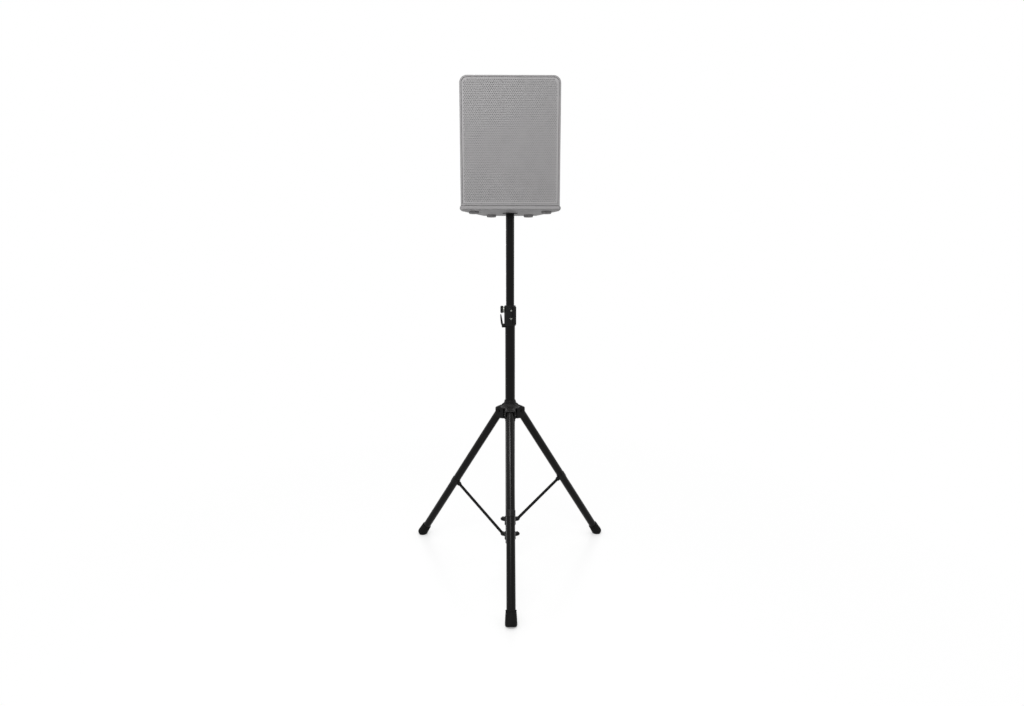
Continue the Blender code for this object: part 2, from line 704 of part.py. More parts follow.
def side_frame(sign):
    """The middle of one slanted side, X outwards."""
    lean = math.atan2(CAB_HALF_W - CAB_REAR_HALF_W, CAB_REAR - CAB_TAPER_FROM)
    x = (CAB_HALF_W + CAB_REAR_HALF_W) / 2
    y = (CAB_TAPER_FROM + CAB_REAR) / 2
    turn = lean if sign > 0 else math.pi - lean
    return frame("handle_axis_right" if sign > 0 else "handle_axis_left", (sign * x, y, HANDLE_Z), (0, 0, turn), speaker)


def side_box(name, inner, outer, margin, wall):
    """A box through one slanted side, from an inner to an outer depth, wider than the handle's cup by a margin."""
    length = CUP_HALF_LENGTH + margin
    height = CUP_HALF_HEIGHT + margin
    return box(name, (inner, -length, -height), (outer, length, height), wall)


def make_cabinet():
    floor = CAP_HEIGHT + GAP
    shell = cabinet_solid("cabinet_shell", 0, CAB_FRONT, floor)
    bevel(shell, 0.003, angle=40)
    cut(shell, cabinet_solid("cabinet_inside", CAB_WALL, CAB_FRONT - 0.1, floor + CAB_WALL))
    cut(shell, rod("cabinet_socket_hole", 0.0222, 0, 0.06, speaker))
    cut(shell, box("cabinet_input_hole", (-0.05, 0.10, 0.100), (0.05, 0.16, 0.170), speaker))
    for sign, side in ((1, "right"), (-1, "left")):
        wall = side_frame(sign)
        hole = side_box(f"handle_hole_{side}", -0.03, 0.03, CUP_FIT, wall)
        cut(shell, hole)
        cup = side_box(f"handle_cup_{side}", -CUP_DEPTH, 0.0015, 0, wall)
        rim = side_box(f"handle_rim_{side}", GAP, 0.0033, CUP_RIM, wall)
        join(cup, bevel(rim, 0.002))
        hollow = side_box(f"handle_hollow_{side}", CUP_FLOOR - CUP_DEPTH, 0.02, -CUP_WALL, wall)
        cut(cup, bevel(hollow, CUP_CORNER, 3))
        finish(cup, GREY_SHELL)
    finish(shell, GREY_SHELL)

    # The moulded bottom stands a little proud of the cabinet's sides
    plan = cabinet_plan(-CAP_OUT, CAB_FRONT - 0.001)
    cap = plate("bottom_cap", [plan], CAP_HEIGHT, speaker, (0, 0, CAP_HEIGHT / 2))
    bevel(cap, 0.004, 2, angle=25)
    pocket = plate("cap_pocket", [cabinet_plan(0.004, CAB_FRONT + 0.004)], 0.03, speaker, (0, 0, 0.007 + 0.015))
    cut(cap, pocket)
    cut(cap, rod("cap_socket_hole", 0.0222, -0.02, 0.06, speaker))
    finish(cap, GREY_SHELL)

    # The pole stands in this socket, under its closed end
    depth = SOCKET_DEPTH + GAP
    bore = POLE_R + 0.0005
    socket = [
        (0, depth + 0.004),
        (0.0195, depth + 0.004),
        (0.0217, depth + 0.002),
        (0.0217, -GAP),
        (0.0310, -GAP),
        (0.0310, -0.0025),
        (0.0300, -0.0033),
        (bore + 0.001, -0.0033),
        (bore, -0.0020),
        (bore, depth),
        (0, depth),
    ]
    finish(turned("pole_socket", socket, speaker, closed=False), BLACK_NYLON)
    foot = [(0, -GAP), (0.0200, -GAP), (0.0205, -0.0015), (0.0192, -0.0080), (0.0180, -0.0093), (0, -0.0093)]
    for name, (x, y) in (("front", FOOT_FRONT), ("rear", FOOT_REAR)):
        for side, sign in (("right", 1), ("left", -1)):
            pad = turned(f"rubber_foot_{name}_{side}", foot, speaker, (sign * x, y, 0), closed=False, sides=16)
            finish(pad, GREY_RUBBER)


def front_plate(name, margin, front, thick, holes=()):
    """A plate that fits the cabinet's front opening."""
    inset = CAB_WALL + margin
    outline = cabinet_face(inset, CAP_HEIGHT + GAP + inset)
    at = (0, front + thick / 2, 0)
    return plate(name, [outline, *holes], thick, speaker, at, ALONG_Y)


def make_front():
    woofer_hole = arc(0, WOOFER_Z, WOOFER_R - 0.0115, 360, 18, 19)
    horn_hole = arc(0, HORN_Z, HORN_R - 0.0105, 360, 18, 19)
    baffle = front_plate("front_baffle", 0.0005, BAFFLE_FRONT, BAFFLE_THICK, (woofer_hole, horn_hole))
    finish(baffle, PAPER)
    finish(front_plate("front_grille", 0.0010, CAB_FRONT + 0.0020, 0.0015), GREY_STEEL)
    finish(front_plate("grille_foam", 0.0020, CAB_FRONT + 0.0035 + GAP, 0.005), FOAM)


def make_woofer():
    """The bass driver, turned about an axis that points out of the front."""
    axis = frame("woofer_axis", (0, BAFFLE_FRONT, WOOFER_Z), ALONG_Y, speaker)
    bore = WOOFER_R - 0.0162
    basket = [
        (WOOFER_R - 0.0005, 0.0040),
        (WOOFER_R, GAP),
        (WOOFER_R - 0.0135, GAP),
        (WOOFER_R - 0.0140, -0.0140),
        (MAGNET_R, -0.0580),
        (MAGNET_R, -0.0600),
        (0.0240, -0.0600),
        (0.0240, -0.0575),
        (MAGNET_R - 0.002, -0.0575),
        (bore, -0.0135),
        (bore, 0.0040),
    ]
    finish(turned("woofer_basket", basket, axis, sides=20), FERRITE)
    magnet = [
        (0, -0.0605),
        (0.0172, -0.0605),
        (0.0172, -0.0930),
        (0.0226, -0.0930),
        (0.0226, -0.0605),
        (MAGNET_R, -0.0605),
        (MAGNET_R, -0.0990),
        (MAGNET_R - 0.012, -0.1030),
        (0, -0.1030),
    ]
    finish(turned("woofer_magnet", magnet, axis, closed=False, sides=20), FERRITE)
    cone_r = WOOFER_R - 0.0305
    cone = [
        (0, -0.0185),
        (0.0120, -0.0205),
        (0.0210, -0.0250),
        (cone_r, 0.0000),
        (cone_r, -0.0015),
        (0.0207, -0.0268),
        (0.0207, -0.0780),
        (0.0194, -0.0780),
        (0.0194, -0.0262),
        (0.0120, -0.0222),
        (0, -0.0202),
    ]
    finish(turned("woofer_cone", cone, axis, closed=False, sides=20), PAPER)
    middle = (cone_r + bore + 0.0001) / 2
    over = [(x, y) for x, y in arc(middle, 0, 0.0066, 180, 0, 4)]
    under = [(x, y) for x, y in arc(middle, 0, 0.0053, 0, 180, 4)]
    finish(turned("woofer_surround", [*over, *under], axis, sides=20), RUBBER)


def make_horn():
    """The treble horn and its driver, on their own axis."""
    axis = frame("horn_axis", (0, BAFFLE_FRONT, HORN_Z), ALONG_Y, speaker)
    depths = [0.0, -0.012, -0.030, -0.064]
    mouth = HORN_R - 0.015
    inner = [HORN_THROAT + (mouth - HORN_THROAT) * math.exp(depth / 0.022) for depth in depths]
    outside = [(radius + 0.0018, depth) for radius, depth in zip(inner[1:], depths[1:])]
    inside = [(radius, depth) for radius, depth in zip(inner, depths)]
    flare = [
        (HORN_R - 0.0005, 0.0030),
        (HORN_R, GAP),
        (HORN_R - 0.0135, GAP),
        *outside[:-1],
        (0.0160, -0.0600),
        (0.0330, -0.0600),
        (0.0330, -0.0640),
        *inside[::-1],
        (HORN_R - 0.014, 0.0030),
    ]
    finish(turned("horn_flare", flare, axis, sides=20), PAPER)
    driver = [
        (0.0310, -0.0643),
        (0.0430, -0.0680),
        (0.0430, -0.1080),
        (0.0400, -0.1120),
        (0, -0.1120),
        (0, -0.0760),
        (0.0128, -0.0760),
        (0.0128, -0.0643),
    ]
    order = [driver[5], driver[6], driver[7], *driver[:5]]
    finish(turned("compression_driver", order, axis, closed=False, sides=20), FERRITE)


def make_rear():
    """The crossover board inside the back, and the input plate with its two sockets."""
    rear = CAB_REAR - CAB_WALL
    board = box("crossover_board", (-0.055, rear - 0.0116, 0.215), (0.055, rear - 0.0100, 0.290), speaker)
    for x in (-0.048, 0.048):
        for z in (0.222, 0.283):
            join(board, rod(f"board_post_{x}_{z}", 0.003, rear - 0.011, rear - GAP, speaker, "Y", (x, 0, z), 8))
    join(board, rod("board_coil_a", 0.017, rear - 0.030, rear - 0.011, speaker, "Y", (-0.030, 0, 0.262), 16))
    join(board, rod("board_coil_b", 0.013, rear - 0.026, rear - 0.011, speaker, "Y", (0.004, 0, 0.262), 16))
    join(board, box("board_cap", (0.024, rear - 0.028, 0.235), (0.046, rear - 0.011, 0.272), speaker))
    finish(board, BOARD)
    low = (-0.060, CAB_REAR + GAP, 0.090)
    high = (0.060, CAB_REAR + 0.003, 0.180)
    panel = bevel(box("input_plate", low, high, speaker), 0.001)
    socket = [
        (0.0140, 0.0058),
        (0.0145, 0.0053),
        (0.0145, 0.0033),
        (0.0113, 0.0033),
        (0.0113, -0.0220),
        (0, -0.0220),
    ]
    bore = [(0, -0.0190), (0.0092, -0.0190), (0.0092, 0.0058)]
    for side, x in (("right", 0.026), ("left", -0.026)):
        at = (x, CAB_REAR, 0.135)
        cut(panel, rod(f"socket_hole_{side}", 0.0116, -0.02, 0.02, speaker, "Y", at, 24))
        turn = (-math.pi / 2, 0, 0)
        finish(turned(f"input_socket_{side}", [*bore, *socket], speaker, at, turn, closed=False, sides=16), BLACK_NYLON)
    finish(panel, POWDER_COAT)


make_mast()
for ring_name, ring_height in RING_HEIGHTS.items():
    make_brace_ring(ring_name, ring_height)
make_hub()
under_ground = box("under_ground", (-1, -1, -0.1), (1, 1, 0), stand)
under_ground.hide_render = True
under_ground.display_type = "WIRE"
PARTS.objects.unlink(under_ground)
CUTTERS.objects.link(under_ground)
for leg_side, leg_azimuth in AZIMUTHS.items():
    make_leg(leg_side, leg_azimuth, under_ground)
make_height_clamp()
make_pole()
make_cabinet()
make_front()
make_woofer()
make_horn()
make_rear()
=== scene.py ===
"""A loudspeaker on a folding tripod stand: finer pieces over its solids, finishes, and a white stage."""

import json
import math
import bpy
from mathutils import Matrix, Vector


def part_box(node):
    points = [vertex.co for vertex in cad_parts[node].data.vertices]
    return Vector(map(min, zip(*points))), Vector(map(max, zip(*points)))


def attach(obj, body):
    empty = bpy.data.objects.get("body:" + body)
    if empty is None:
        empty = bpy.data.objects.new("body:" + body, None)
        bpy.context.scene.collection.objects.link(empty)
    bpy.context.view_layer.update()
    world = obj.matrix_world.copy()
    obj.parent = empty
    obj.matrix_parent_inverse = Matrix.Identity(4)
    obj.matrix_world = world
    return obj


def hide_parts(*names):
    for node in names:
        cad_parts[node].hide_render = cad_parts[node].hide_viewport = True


bl_info = {
    "name": "Loudspeaker on a Tripod Stand",
    "version": (1, 0, 0),
    "blender": (4, 5, 0),
    "location": "View3D > Sidebar > Stand",
    "description": "Models and finishes the pieces of a loudspeaker on a folding tripod stand",
    "category": "Add Mesh",
}

from contextlib import contextmanager

import bmesh
import bpy
from bpy.props import FloatProperty, FloatVectorProperty, IntProperty, PointerProperty
from bpy.types import Operator, Panel, PropertyGroup
from mathutils import Matrix, Vector

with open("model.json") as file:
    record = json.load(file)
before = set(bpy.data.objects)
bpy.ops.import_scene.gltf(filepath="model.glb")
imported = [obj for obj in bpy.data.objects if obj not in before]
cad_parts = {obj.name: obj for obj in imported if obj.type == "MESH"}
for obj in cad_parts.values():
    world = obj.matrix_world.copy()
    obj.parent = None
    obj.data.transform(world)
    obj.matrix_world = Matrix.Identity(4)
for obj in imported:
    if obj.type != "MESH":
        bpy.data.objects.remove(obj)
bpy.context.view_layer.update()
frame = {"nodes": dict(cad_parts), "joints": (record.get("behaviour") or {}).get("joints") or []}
JOINTS = {joint["name"]: joint for joint in frame["joints"]}

# Points closer than this are one point
WELD = 0.000002
# Room between pieces that touch
GAP = 0.0003
# Radius of the holes for the bolts of the hub, and for the lever's pin
BOLT_HOLE = 0.0043
LEVER_HOLE = 0.0023
SIDES = ("front", "right", "left")
QUARTER = math.pi / 2
# Record slot and finish of the steel pieces, and of the black mouldings
COATED = ("black_powder_coat", "powder_coat")
MOULDED = ("black_nylon", "nylon")


def middle(node):
    low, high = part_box(node)
    return (low + high) / 2


def length(name, default, description):
    return FloatProperty(
        name=name, description=description, default=default, min=0.0, precision=4, unit="LENGTH"
    )


def tilt(name, default, description):
    return FloatProperty(name=name, description=description, default=default, subtype="ANGLE")


def colour(name, default, description):
    return FloatVectorProperty(
        name=name, description=description, default=default, size=3, min=0.0, max=1.0, subtype="COLOR"
    )


def count(name, default, description):
    return IntProperty(name=name, description=description, default=default, min=1)


class StandSizes(PropertyGroup):
    """Sizes of the folding stand."""

    mast_radius: length("Mast radius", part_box("mast_tube")[1].x, "Outside radius of the mast")
    mast_wall: length("Mast wall", 0.0016, "Wall of the mast")
    pole_radius: length("Pole radius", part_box("pole_tube")[1].x, "Outside radius of the inner pole")
    pole_wall: length("Pole wall", 0.0016, "Wall of the inner pole")
    pole_hole: length("Pole hole", 0.0045, "Radius of the pole's pin holes")
    hole_pitch: length("Hole pitch", 0.060, "Distance between the pole's pin holes")
    pole_holes: count("Pole holes", 6, "Pin holes in the pole above the locking pin")
    leg_radius: length("Leg radius", 0.0175, "Outside radius of a leg")
    leg_wall: length("Leg wall", 0.0014, "Wall of a leg")
    leg_length: length("Leg length", 0.8229, "From a leg's bolt to the end of its boot")
    leg_angle: tilt("Leg angle", math.radians(33.65), "Lean of a leg from upright")
    boot_length: length("Boot length", 0.0584, "Length of a rubber boot")
    boot_floor: length("Boot floor", 0.0204, "Rubber under the end of a leg's tube")
    boot_radius: length("Boot radius", 0.0229, "Widest radius of a boot")
    boot_top: length("Boot top", 0.0207, "Radius of a boot's upper end")
    boot_grooves: count("Boot grooves", 2, "Grooves round a boot, under its lip")
    strut_width: length("Strut width", 0.014, "Width of a strut")
    strut_thick: length("Strut thickness", 0.004, "Thickness of a strut")
    strut_slot: length("Strut slot", 0.0052, "Gap between the cheeks that hold a strut")
    lug_thick: length("Lug thickness", 0.0132, "Width over the two cheeks that hold a strut")
    lug_radius: length("Lug radius", 0.008, "Radius of a cheek's round end")
    ring_radius: length("Ring radius", 0.0255, "Outside radius of the brace rings")
    ring_reach: length("Ring reach", 0.039, "From the mast's axis to the rivets of a brace ring")
    hub_width: length("Hood width", 0.043, "Width of one of the hub's hoods")
    hub_slot: length("Hood slot", 0.0366, "Gap for a leg between the walls of a hood")
    hub_reach: length("Hood reach", 0.064, "From the mast's axis to the outside of a hood")
    hub_roof: length("Hood roof", 0.0045, "Thickness of a hood's roof")
    hub_ribs: count("Hood ribs", 4, "Ribs on the roof of a hood")
    collar_radius: length("Collar radius", 0.025, "Outside radius of the height collar")
    knob_lobes: count("Knob lobes", 6, "Finger hollows round the hub's clamp knob")


class SpeakerSizes(PropertyGroup):
    """Sizes of the loudspeaker, measured from the pole's axis and from the cabinet's bottom."""

    half_width: length("Half width", 0.191, "Half the width of the cabinet's front")
    height: length("Height", 0.491, "Height of the cabinet")
    front: length("Front", 0.160, "From the pole's axis to the front")
    taper_from: length("Taper", 0.095, "From the pole's axis forward to where the sides turn in")
    rear: length("Rear", 0.130, "From the pole's axis to the back")
    rear_half_width: length("Rear half width", 0.112, "Half the width of the back")
    wall: length("Wall", 0.007, "Wall of the cabinet")
    corner: length("Top corner", 0.028, "Radius of the two top corners")
    cap_height: length("Bottom height", 0.015, "Height of the moulded bottom")
    cap_out: length("Bottom overhang", 0.0045, "How far the moulded bottom stands proud")
    grille_pitch: length("Grille pitch", 0.0072, "Distance between the grille's holes")
    grille_web: length("Grille web", 0.0028, "Metal left between two holes")
    grille_border: length("Grille border", 0.0075, "Plain border round the holes")
    handle_height: length("Handle height", 0.300, "Height of the handle cups")


class Colours(PropertyGroup):
    """Colours of the finishes."""

    powder: colour("Powder coat", (0.0021, 0.0019, 0.0018), "Black coat of the tubes")
    nylon: colour("Nylon", (0.0032, 0.0031, 0.0031), "Black mouldings")
    rubber: colour("Rubber", (0.0030, 0.0030, 0.0030), "Boots of the legs")
    feet: colour("Feet", (0.235, 0.230, 0.232), "Rubber feet of the cabinet")
    zinc: colour("Zinc", (0.24, 0.25, 0.225), "Plated screws and pin")
    shell: colour("Cabinet", (0.232, 0.226, 0.229), "Moulded cabinet")
    steel: colour("Grille", (0.275, 0.269, 0.272), "Coat of the grille")
    foam: colour("Foam", (0.195, 0.191, 0.193), "Foam behind the grille")
    paper: colour("Cone", (0.020, 0.020, 0.021), "Paper of the woofer cone")


class StageSettings(PropertyGroup):
    """Camera, floor and light."""

    lens: FloatProperty(
        name="Lens", description="Focal length in millimetres", default=20.23, unit="CAMERA"
    )
    pitch: tilt("Pitch", math.radians(8.79), "How far the camera looks down")
    distance: length("Distance", 2.440, "From the camera to the mast, level")
    height: length("Camera height", 1.319, "Height of the camera")
    aside: length("Aside", 0.016, "How far the camera stands to the left of the mast")
    turn: tilt("Turn", 0.0099, "How far the camera looks to the right")
    key: FloatProperty(
        name="Key light", description="Power of the lamp in front", default=50.0, unit="POWER"
    )
    ambient: FloatProperty(name="Ambient", description="Light from all round", default=0.34)


AXIS_Y = middle("mast_end_plug").y
STAND = Matrix.Translation((0, AXIS_Y, 0))
SPEAKER_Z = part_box("bottom_cap")[0].z
SPEAKER = Matrix.Translation((0, AXIS_Y, SPEAKER_Z))
PIVOTS = {side: Vector(JOINTS[f"leg_{side}_fold"]["pos_m"]) for side in SIDES}
PIVOT_Z = PIVOTS["front"].z
PIVOT_R = AXIS_Y - PIVOTS["front"].y
AZIMUTHS = {side: math.atan2(pivot.y - AXIS_Y, pivot.x) for side, pivot in PIVOTS.items()}
RING_Z = {name: middle(f"{name}_brace_ring").z for name in ("upper", "lower")}
COLLAR_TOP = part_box("height_collar")[1].z
COLLAR_BOTTOM = COLLAR_TOP - 0.0825
LEVER_AT = Vector(JOINTS["clamp_lever_swing"]["pos_m"])
PIN_Z = middle("locking_pin").z
KNOB_Z = middle("hub_clamp_knob").z


def about_z(angle):
    return Matrix.Rotation(angle, 4, "Z")


def about_x(angle):
    return Matrix.Rotation(angle, 4, "X")


def about_y(angle):
    return Matrix.Rotation(angle, 4, "Y")


def arm(side):
    """The mast's axis, with X towards one of the legs."""
    return STAND @ about_z(AZIMUTHS[side])


def leg_frame(side, angle):
    """A leg's bolt, with Z up the leg and X outwards."""
    return Matrix.Translation(PIVOTS[side]) @ about_z(AZIMUTHS[side]) @ about_y(-angle)


# Modelling


def clear_selection():
    if bpy.context.mode != "OBJECT":
        bpy.ops.object.mode_set(mode="OBJECT")
    bpy.ops.object.select_all(action="DESELECT")


def activate(piece):
    clear_selection()
    piece.select_set(True)
    bpy.context.view_layer.objects.active = piece
    return piece


@contextmanager
def editing(piece):
    activate(piece)
    bpy.ops.object.mode_set(mode="EDIT")
    bpy.ops.mesh.select_mode(type="VERT")
    bpy.ops.mesh.select_all(action="SELECT")
    yield piece
    bpy.ops.object.mode_set(mode="OBJECT")


def pick(piece, kind, test):
    """Selects the vertices, edges or faces that pass a test, in edit mode."""
    bpy.ops.mesh.select_mode(type=kind)
    bpy.ops.mesh.select_all(action="DESELECT")
    shape = bmesh.from_edit_mesh(piece.data)
    kinds = {"VERT": shape.verts, "EDGE": shape.edges, "FACE": shape.faces}
    for part in kinds[kind]:
        if test(part):
            part.select_set(True)
    shape.select_flush_mode()
    bmesh.update_edit_mesh(piece.data)


def close_up():
    """Welds what is being edited and turns its faces outwards."""
    bpy.ops.mesh.select_all(action="SELECT")
    bpy.ops.mesh.remove_doubles(threshold=WELD)
    bpy.ops.mesh.select_all(action="SELECT")
    bpy.ops.mesh.normals_make_consistent(inside=False)


def trace(name, points):
    """Draws a line in the XZ plane by extruding one vertex from point to point."""
    clear_selection()
    bpy.ops.mesh.primitive_plane_add(size=0.01)
    piece = bpy.context.object
    piece.name = name
    with editing(piece):
        bpy.ops.mesh.merge(type="CENTER")
        bpy.ops.transform.translate(value=(points[0][0], 0, points[0][1]))
        for (x, z), (next_x, next_z) in zip(points, points[1:]):
            step = (next_x - x, 0, next_z - z)
            bpy.ops.mesh.extrude_vertices_move(TRANSFORM_OT_translate={"value": step})
        bpy.ops.mesh.select_all(action="SELECT")
        bpy.ops.mesh.remove_doubles(threshold=WELD)
    return piece


def lathe(name, profile, steps=64):
    """Turns (radius, height) points about Z. A profile that stays off the axis is closed on itself."""
    touches_axis = profile[0][0] == 0
    piece = trace(name, profile if touches_axis else [*profile, profile[0]])
    with editing(piece):
        bpy.ops.mesh.spin(steps=steps, angle=math.tau, center=(0, 0, 0), axis=(0, 0, 1))
        close_up()
    return piece


def prism(name, outline, low, high):
    """A straight bar of that outline in XZ, from low to high on Y."""
    piece = trace(name, [*outline, outline[0]])
    with editing(piece):
        bpy.ops.mesh.edge_face_add()
        bpy.ops.transform.translate(value=(0, low, 0))
        bpy.ops.mesh.extrude_region_move(TRANSFORM_OT_translate={"value": (0, high - low, 0)})
        close_up()
    return piece


def block(name, low, high):
    """A box between two corners, as a start for a shaped piece or as a cutter."""
    low, high = Vector(low), Vector(high)
    clear_selection()
    bpy.ops.mesh.primitive_cube_add(size=1, location=(low + high) / 2, scale=high - low)
    piece = bpy.context.object
    piece.name = name
    bpy.ops.object.transform_apply(location=True, rotation=True, scale=True)
    return piece


def rod(name, radius, start, end, turn=Matrix.Identity(4), sides=32):
    """A cylinder from start to end on the Z axis of a frame."""
    clear_selection()
    bpy.ops.mesh.primitive_cylinder_add(
        vertices=sides, radius=radius, depth=end - start, location=(0, 0, (start + end) / 2)
    )
    piece = bpy.context.object
    piece.name = name
    bpy.ops.object.transform_apply(location=True, rotation=True, scale=True)
    return place(piece, turn)


def place(piece, matrix):
    """Moves a piece and puts the move into its mesh."""
    activate(piece)
    piece.matrix_world = matrix
    bpy.ops.object.transform_apply(location=True, rotation=True, scale=True)
    return piece


def copy_of(piece, matrix=Matrix.Identity(4)):
    activate(piece)
    bpy.ops.object.duplicate(linked=False)
    return place(bpy.context.object, matrix)


def discard(piece):
    bpy.data.objects.remove(piece, do_unlink=True)


def apply_modifier(piece, kind, **settings):
    activate(piece)
    modifier = piece.modifiers.new(kind.lower(), kind)
    for field, value in settings.items():
        setattr(modifier, field, value)
    bpy.ops.object.modifier_apply(modifier=modifier.name)
    return piece


def combine(operation, piece, others):
    for other in others:
        apply_modifier(piece, "BOOLEAN", operation=operation, object=other, solver="EXACT")
        discard(other)
    with editing(piece):
        bpy.ops.mesh.remove_doubles(threshold=WELD)
    return piece


def fuse(piece, *others):
    return combine("UNION", piece, others)


def carve(piece, *others):
    return combine("DIFFERENCE", piece, others)


def soften(piece, width, segments=2, angle=35):
    """Rounds a piece's edges that are sharper than an angle in degrees."""
    return apply_modifier(
        piece,
        "BEVEL",
        width=width,
        segments=segments,
        limit_method="ANGLE",
        angle_limit=math.radians(angle),
    )


def round_edges(piece, test, offset, segments):
    """Rounds the edges that pass a test, in edit mode."""
    with editing(piece):
        pick(piece, "EDGE", test)
        bpy.ops.mesh.bevel(offset=offset, segments=segments, affect="EDGES")
    return piece


def smooth(piece, angle=35):
    """Smooth shading that stays crisp past an angle and flat on flat faces."""
    activate(piece)
    bpy.ops.object.shade_smooth_by_angle(angle=math.radians(angle))
    return apply_modifier(piece, "WEIGHTED_NORMAL", keep_sharp=True)


def runs_along(axis):
    """A test for edges that lie along one axis."""

    def test(edge):
        step = edge.verts[1].co - edge.verts[0].co
        return abs(step[axis]) > 0.99 * step.length

    return test


def arc(x, z, radius, start, end, steps):
    """Points of an arc, angles in degrees."""
    angles = [math.radians(start + (end - start) * i / steps) for i in range(steps + 1)]
    return [(x + radius * math.cos(angle), z + radius * math.sin(angle)) for angle in angles]


def between(a, b, c, d, t):
    """A number on the smooth curve from b to c that a and d steer, t from 0 to 1."""
    square = (2 * a - 5 * b + 4 * c - d) * t**2
    cube = (3 * b - a - 3 * c + d) * t**3
    return 0.5 * (2 * b + (c - a) * t + square + cube)


def flowing(points, steps=5):
    """A smooth line through a few points."""
    ends = [points[0], *points, points[-1]]
    line = [points[0]]
    for corners in zip(ends, ends[1:], ends[2:], ends[3:]):
        for i in range(1, steps + 1):
            line.append(tuple(between(*axis, i / steps) for axis in zip(*corners)))
    return line


def dress(piece, name, body, slot, finish, *nodes):
    """Names a piece, gives it its finish, and puts it on its body in place of its solids."""
    smooth(piece)
    piece.name = name
    piece.data.name = name
    piece.data.materials.clear()
    piece.data.materials.append(FINISHES[finish])
    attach(piece, body)
    if nodes:
        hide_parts(*nodes)
    return piece


# Finishes

FINISHES = {}
# Tone of settled dust, and of the painted sheen that it gives the black mouldings on what faces up
DUST_AND_SHEEN = (0.30, 0.29, 0.28)


def add_node(tree, kind, inputs=None, **fields):
    node = tree.nodes.new(kind)
    for field, value in fields.items():
        setattr(node, field, value)
    for key, value in (inputs or {}).items():
        if isinstance(value, bpy.types.NodeSocket):
            tree.links.new(value, node.inputs[key])
        else:
            node.inputs[key].default_value = value
    return node


def new_group(name, inputs, outputs):
    """An empty effect with number sockets. Returns its tree, and its inputs and outputs by name."""
    tree = bpy.data.node_groups.new(name, "ShaderNodeTree")
    for label, default in inputs.items():
        socket = tree.interface.new_socket(label, in_out="INPUT", socket_type="NodeSocketFloat")
        socket.default_value = default
    for label in outputs:
        tree.interface.new_socket(label, in_out="OUTPUT", socket_type="NodeSocketFloat")
    entry = tree.nodes.new("NodeGroupInput")
    end = tree.nodes.new("NodeGroupOutput")
    return tree, entry.outputs, end.inputs


def maths(tree, operation, first, second=0.0):
    return add_node(tree, "ShaderNodeMath", {0: first, 1: second}, operation=operation).outputs[0]


def spread(tree, value, low, high, to_low=0.0, to_high=1.0):
    """Maps a value from one range to another, held inside it."""
    inputs = {0: value, 1: low, 2: high, 3: to_low, 4: to_high}
    return add_node(tree, "ShaderNodeMapRange", inputs, clamp=True).outputs[0]


def blend_colour(tree, factor, first, second):
    inputs = {0: factor, 6: first, 7: second}
    return add_node(tree, "ShaderNodeMix", inputs, data_type="RGBA").outputs[2]


def surface_place(tree):
    """The place on a piece, for patterns that stay with it."""
    return add_node(tree, "ShaderNodeTexCoord").outputs["Object"]


def noise(tree, vector, scale, detail, roughness=0.5):
    """A cloudy pattern from 0 to 1."""
    inputs = {"Vector": vector, "Scale": scale, "Detail": detail, "Roughness": roughness}
    return add_node(tree, "ShaderNodeTexNoise", inputs).outputs[0]


def vector_maths(tree, operation, first, second, output=0):
    inputs = {0: first, 1: second}
    return add_node(tree, "ShaderNodeVectorMath", inputs, operation=operation).outputs[output]


def grain_group():
    """Fine grain between a noise and round cells, and slow mottling over a hand's breadth."""
    tree, given, out = new_group("surface_grain", {"Scale": 900.0, "Cells": 0.0}, ("Height", "Mottle"))
    place_on = surface_place(tree)
    cloudy = noise(tree, place_on, given["Scale"], 3.0, 0.6)
    cells = add_node(tree, "ShaderNodeTexVoronoi", {"Vector": place_on, "Scale": given["Scale"]})
    choice = {0: given["Cells"], 2: cloudy, 3: cells.outputs[0]}
    mixed = add_node(tree, "ShaderNodeMix", choice, data_type="FLOAT")
    slow = noise(tree, place_on, 14.0, 5.0, 0.65)
    tree.links.new(mixed.outputs[0], out["Height"])
    tree.links.new(spread(tree, slow, 0.32, 0.68), out["Mottle"])


def wear_group():
    """Where edges are rubbed, broken up by a noise."""
    tree, given, out = new_group("edge_wear", {"Radius": 0.0012, "Breakup": 120.0}, ("Mask",))
    rounded = add_node(tree, "ShaderNodeBevel", {"Radius": given["Radius"]}, samples=4).outputs[0]
    straight = add_node(tree, "ShaderNodeNewGeometry").outputs["Normal"]
    agree = vector_maths(tree, "DOT_PRODUCT", rounded, straight, 1)
    edge = spread(tree, maths(tree, "SUBTRACT", 1.0, agree), 0.015, 0.20)
    patches = spread(tree, noise(tree, surface_place(tree), given["Breakup"], 4.0), 0.40, 0.62)
    tree.links.new(maths(tree, "MULTIPLY", edge, patches), out["Mask"])


def dust_and_sheen_group():
    """Dust on what faces up; at a large amount it is also a painted sheen, lighter where light from above
    falls.
    """
    tree, given, out = new_group("dust_and_painted_sheen", {"Amount": 0.3}, ("Mask",))
    normal = add_node(tree, "ShaderNodeNewGeometry").outputs["Normal"]
    facing = add_node(tree, "ShaderNodeSeparateXYZ", {0: normal})
    up = spread(tree, facing.outputs["Z"], 0.25, 0.95)
    specks = spread(tree, noise(tree, surface_place(tree), 160.0, 6.0, 0.7), 0.42, 0.70)
    mask = maths(tree, "MULTIPLY", up, specks)
    tree.links.new(maths(tree, "MULTIPLY", mask, given["Amount"]), out["Mask"])


def streak_group():
    """Fine marks along Z, as a sliding collar or a die leaves them."""
    tree, given, out = new_group("slide_marks", {"Scale": 900.0, "Stretch": 0.012}, ("Mask",))
    squeeze = add_node(tree, "ShaderNodeCombineXYZ", {0: 1.0, 1: 1.0, 2: given["Stretch"]}).outputs[0]
    drawn = vector_maths(tree, "MULTIPLY", surface_place(tree), squeeze)
    lines = noise(tree, drawn, given["Scale"], 2.0)
    tree.links.new(spread(tree, lines, 0.52, 0.72), out["Mask"])


def effect(tree, name, values):
    """Places an effect in a material with its own values."""
    node = add_node(tree, "ShaderNodeGroup", node_tree=bpy.data.node_groups[name])
    for label, value in values.items():
        node.inputs[label].default_value = value
    return node.outputs


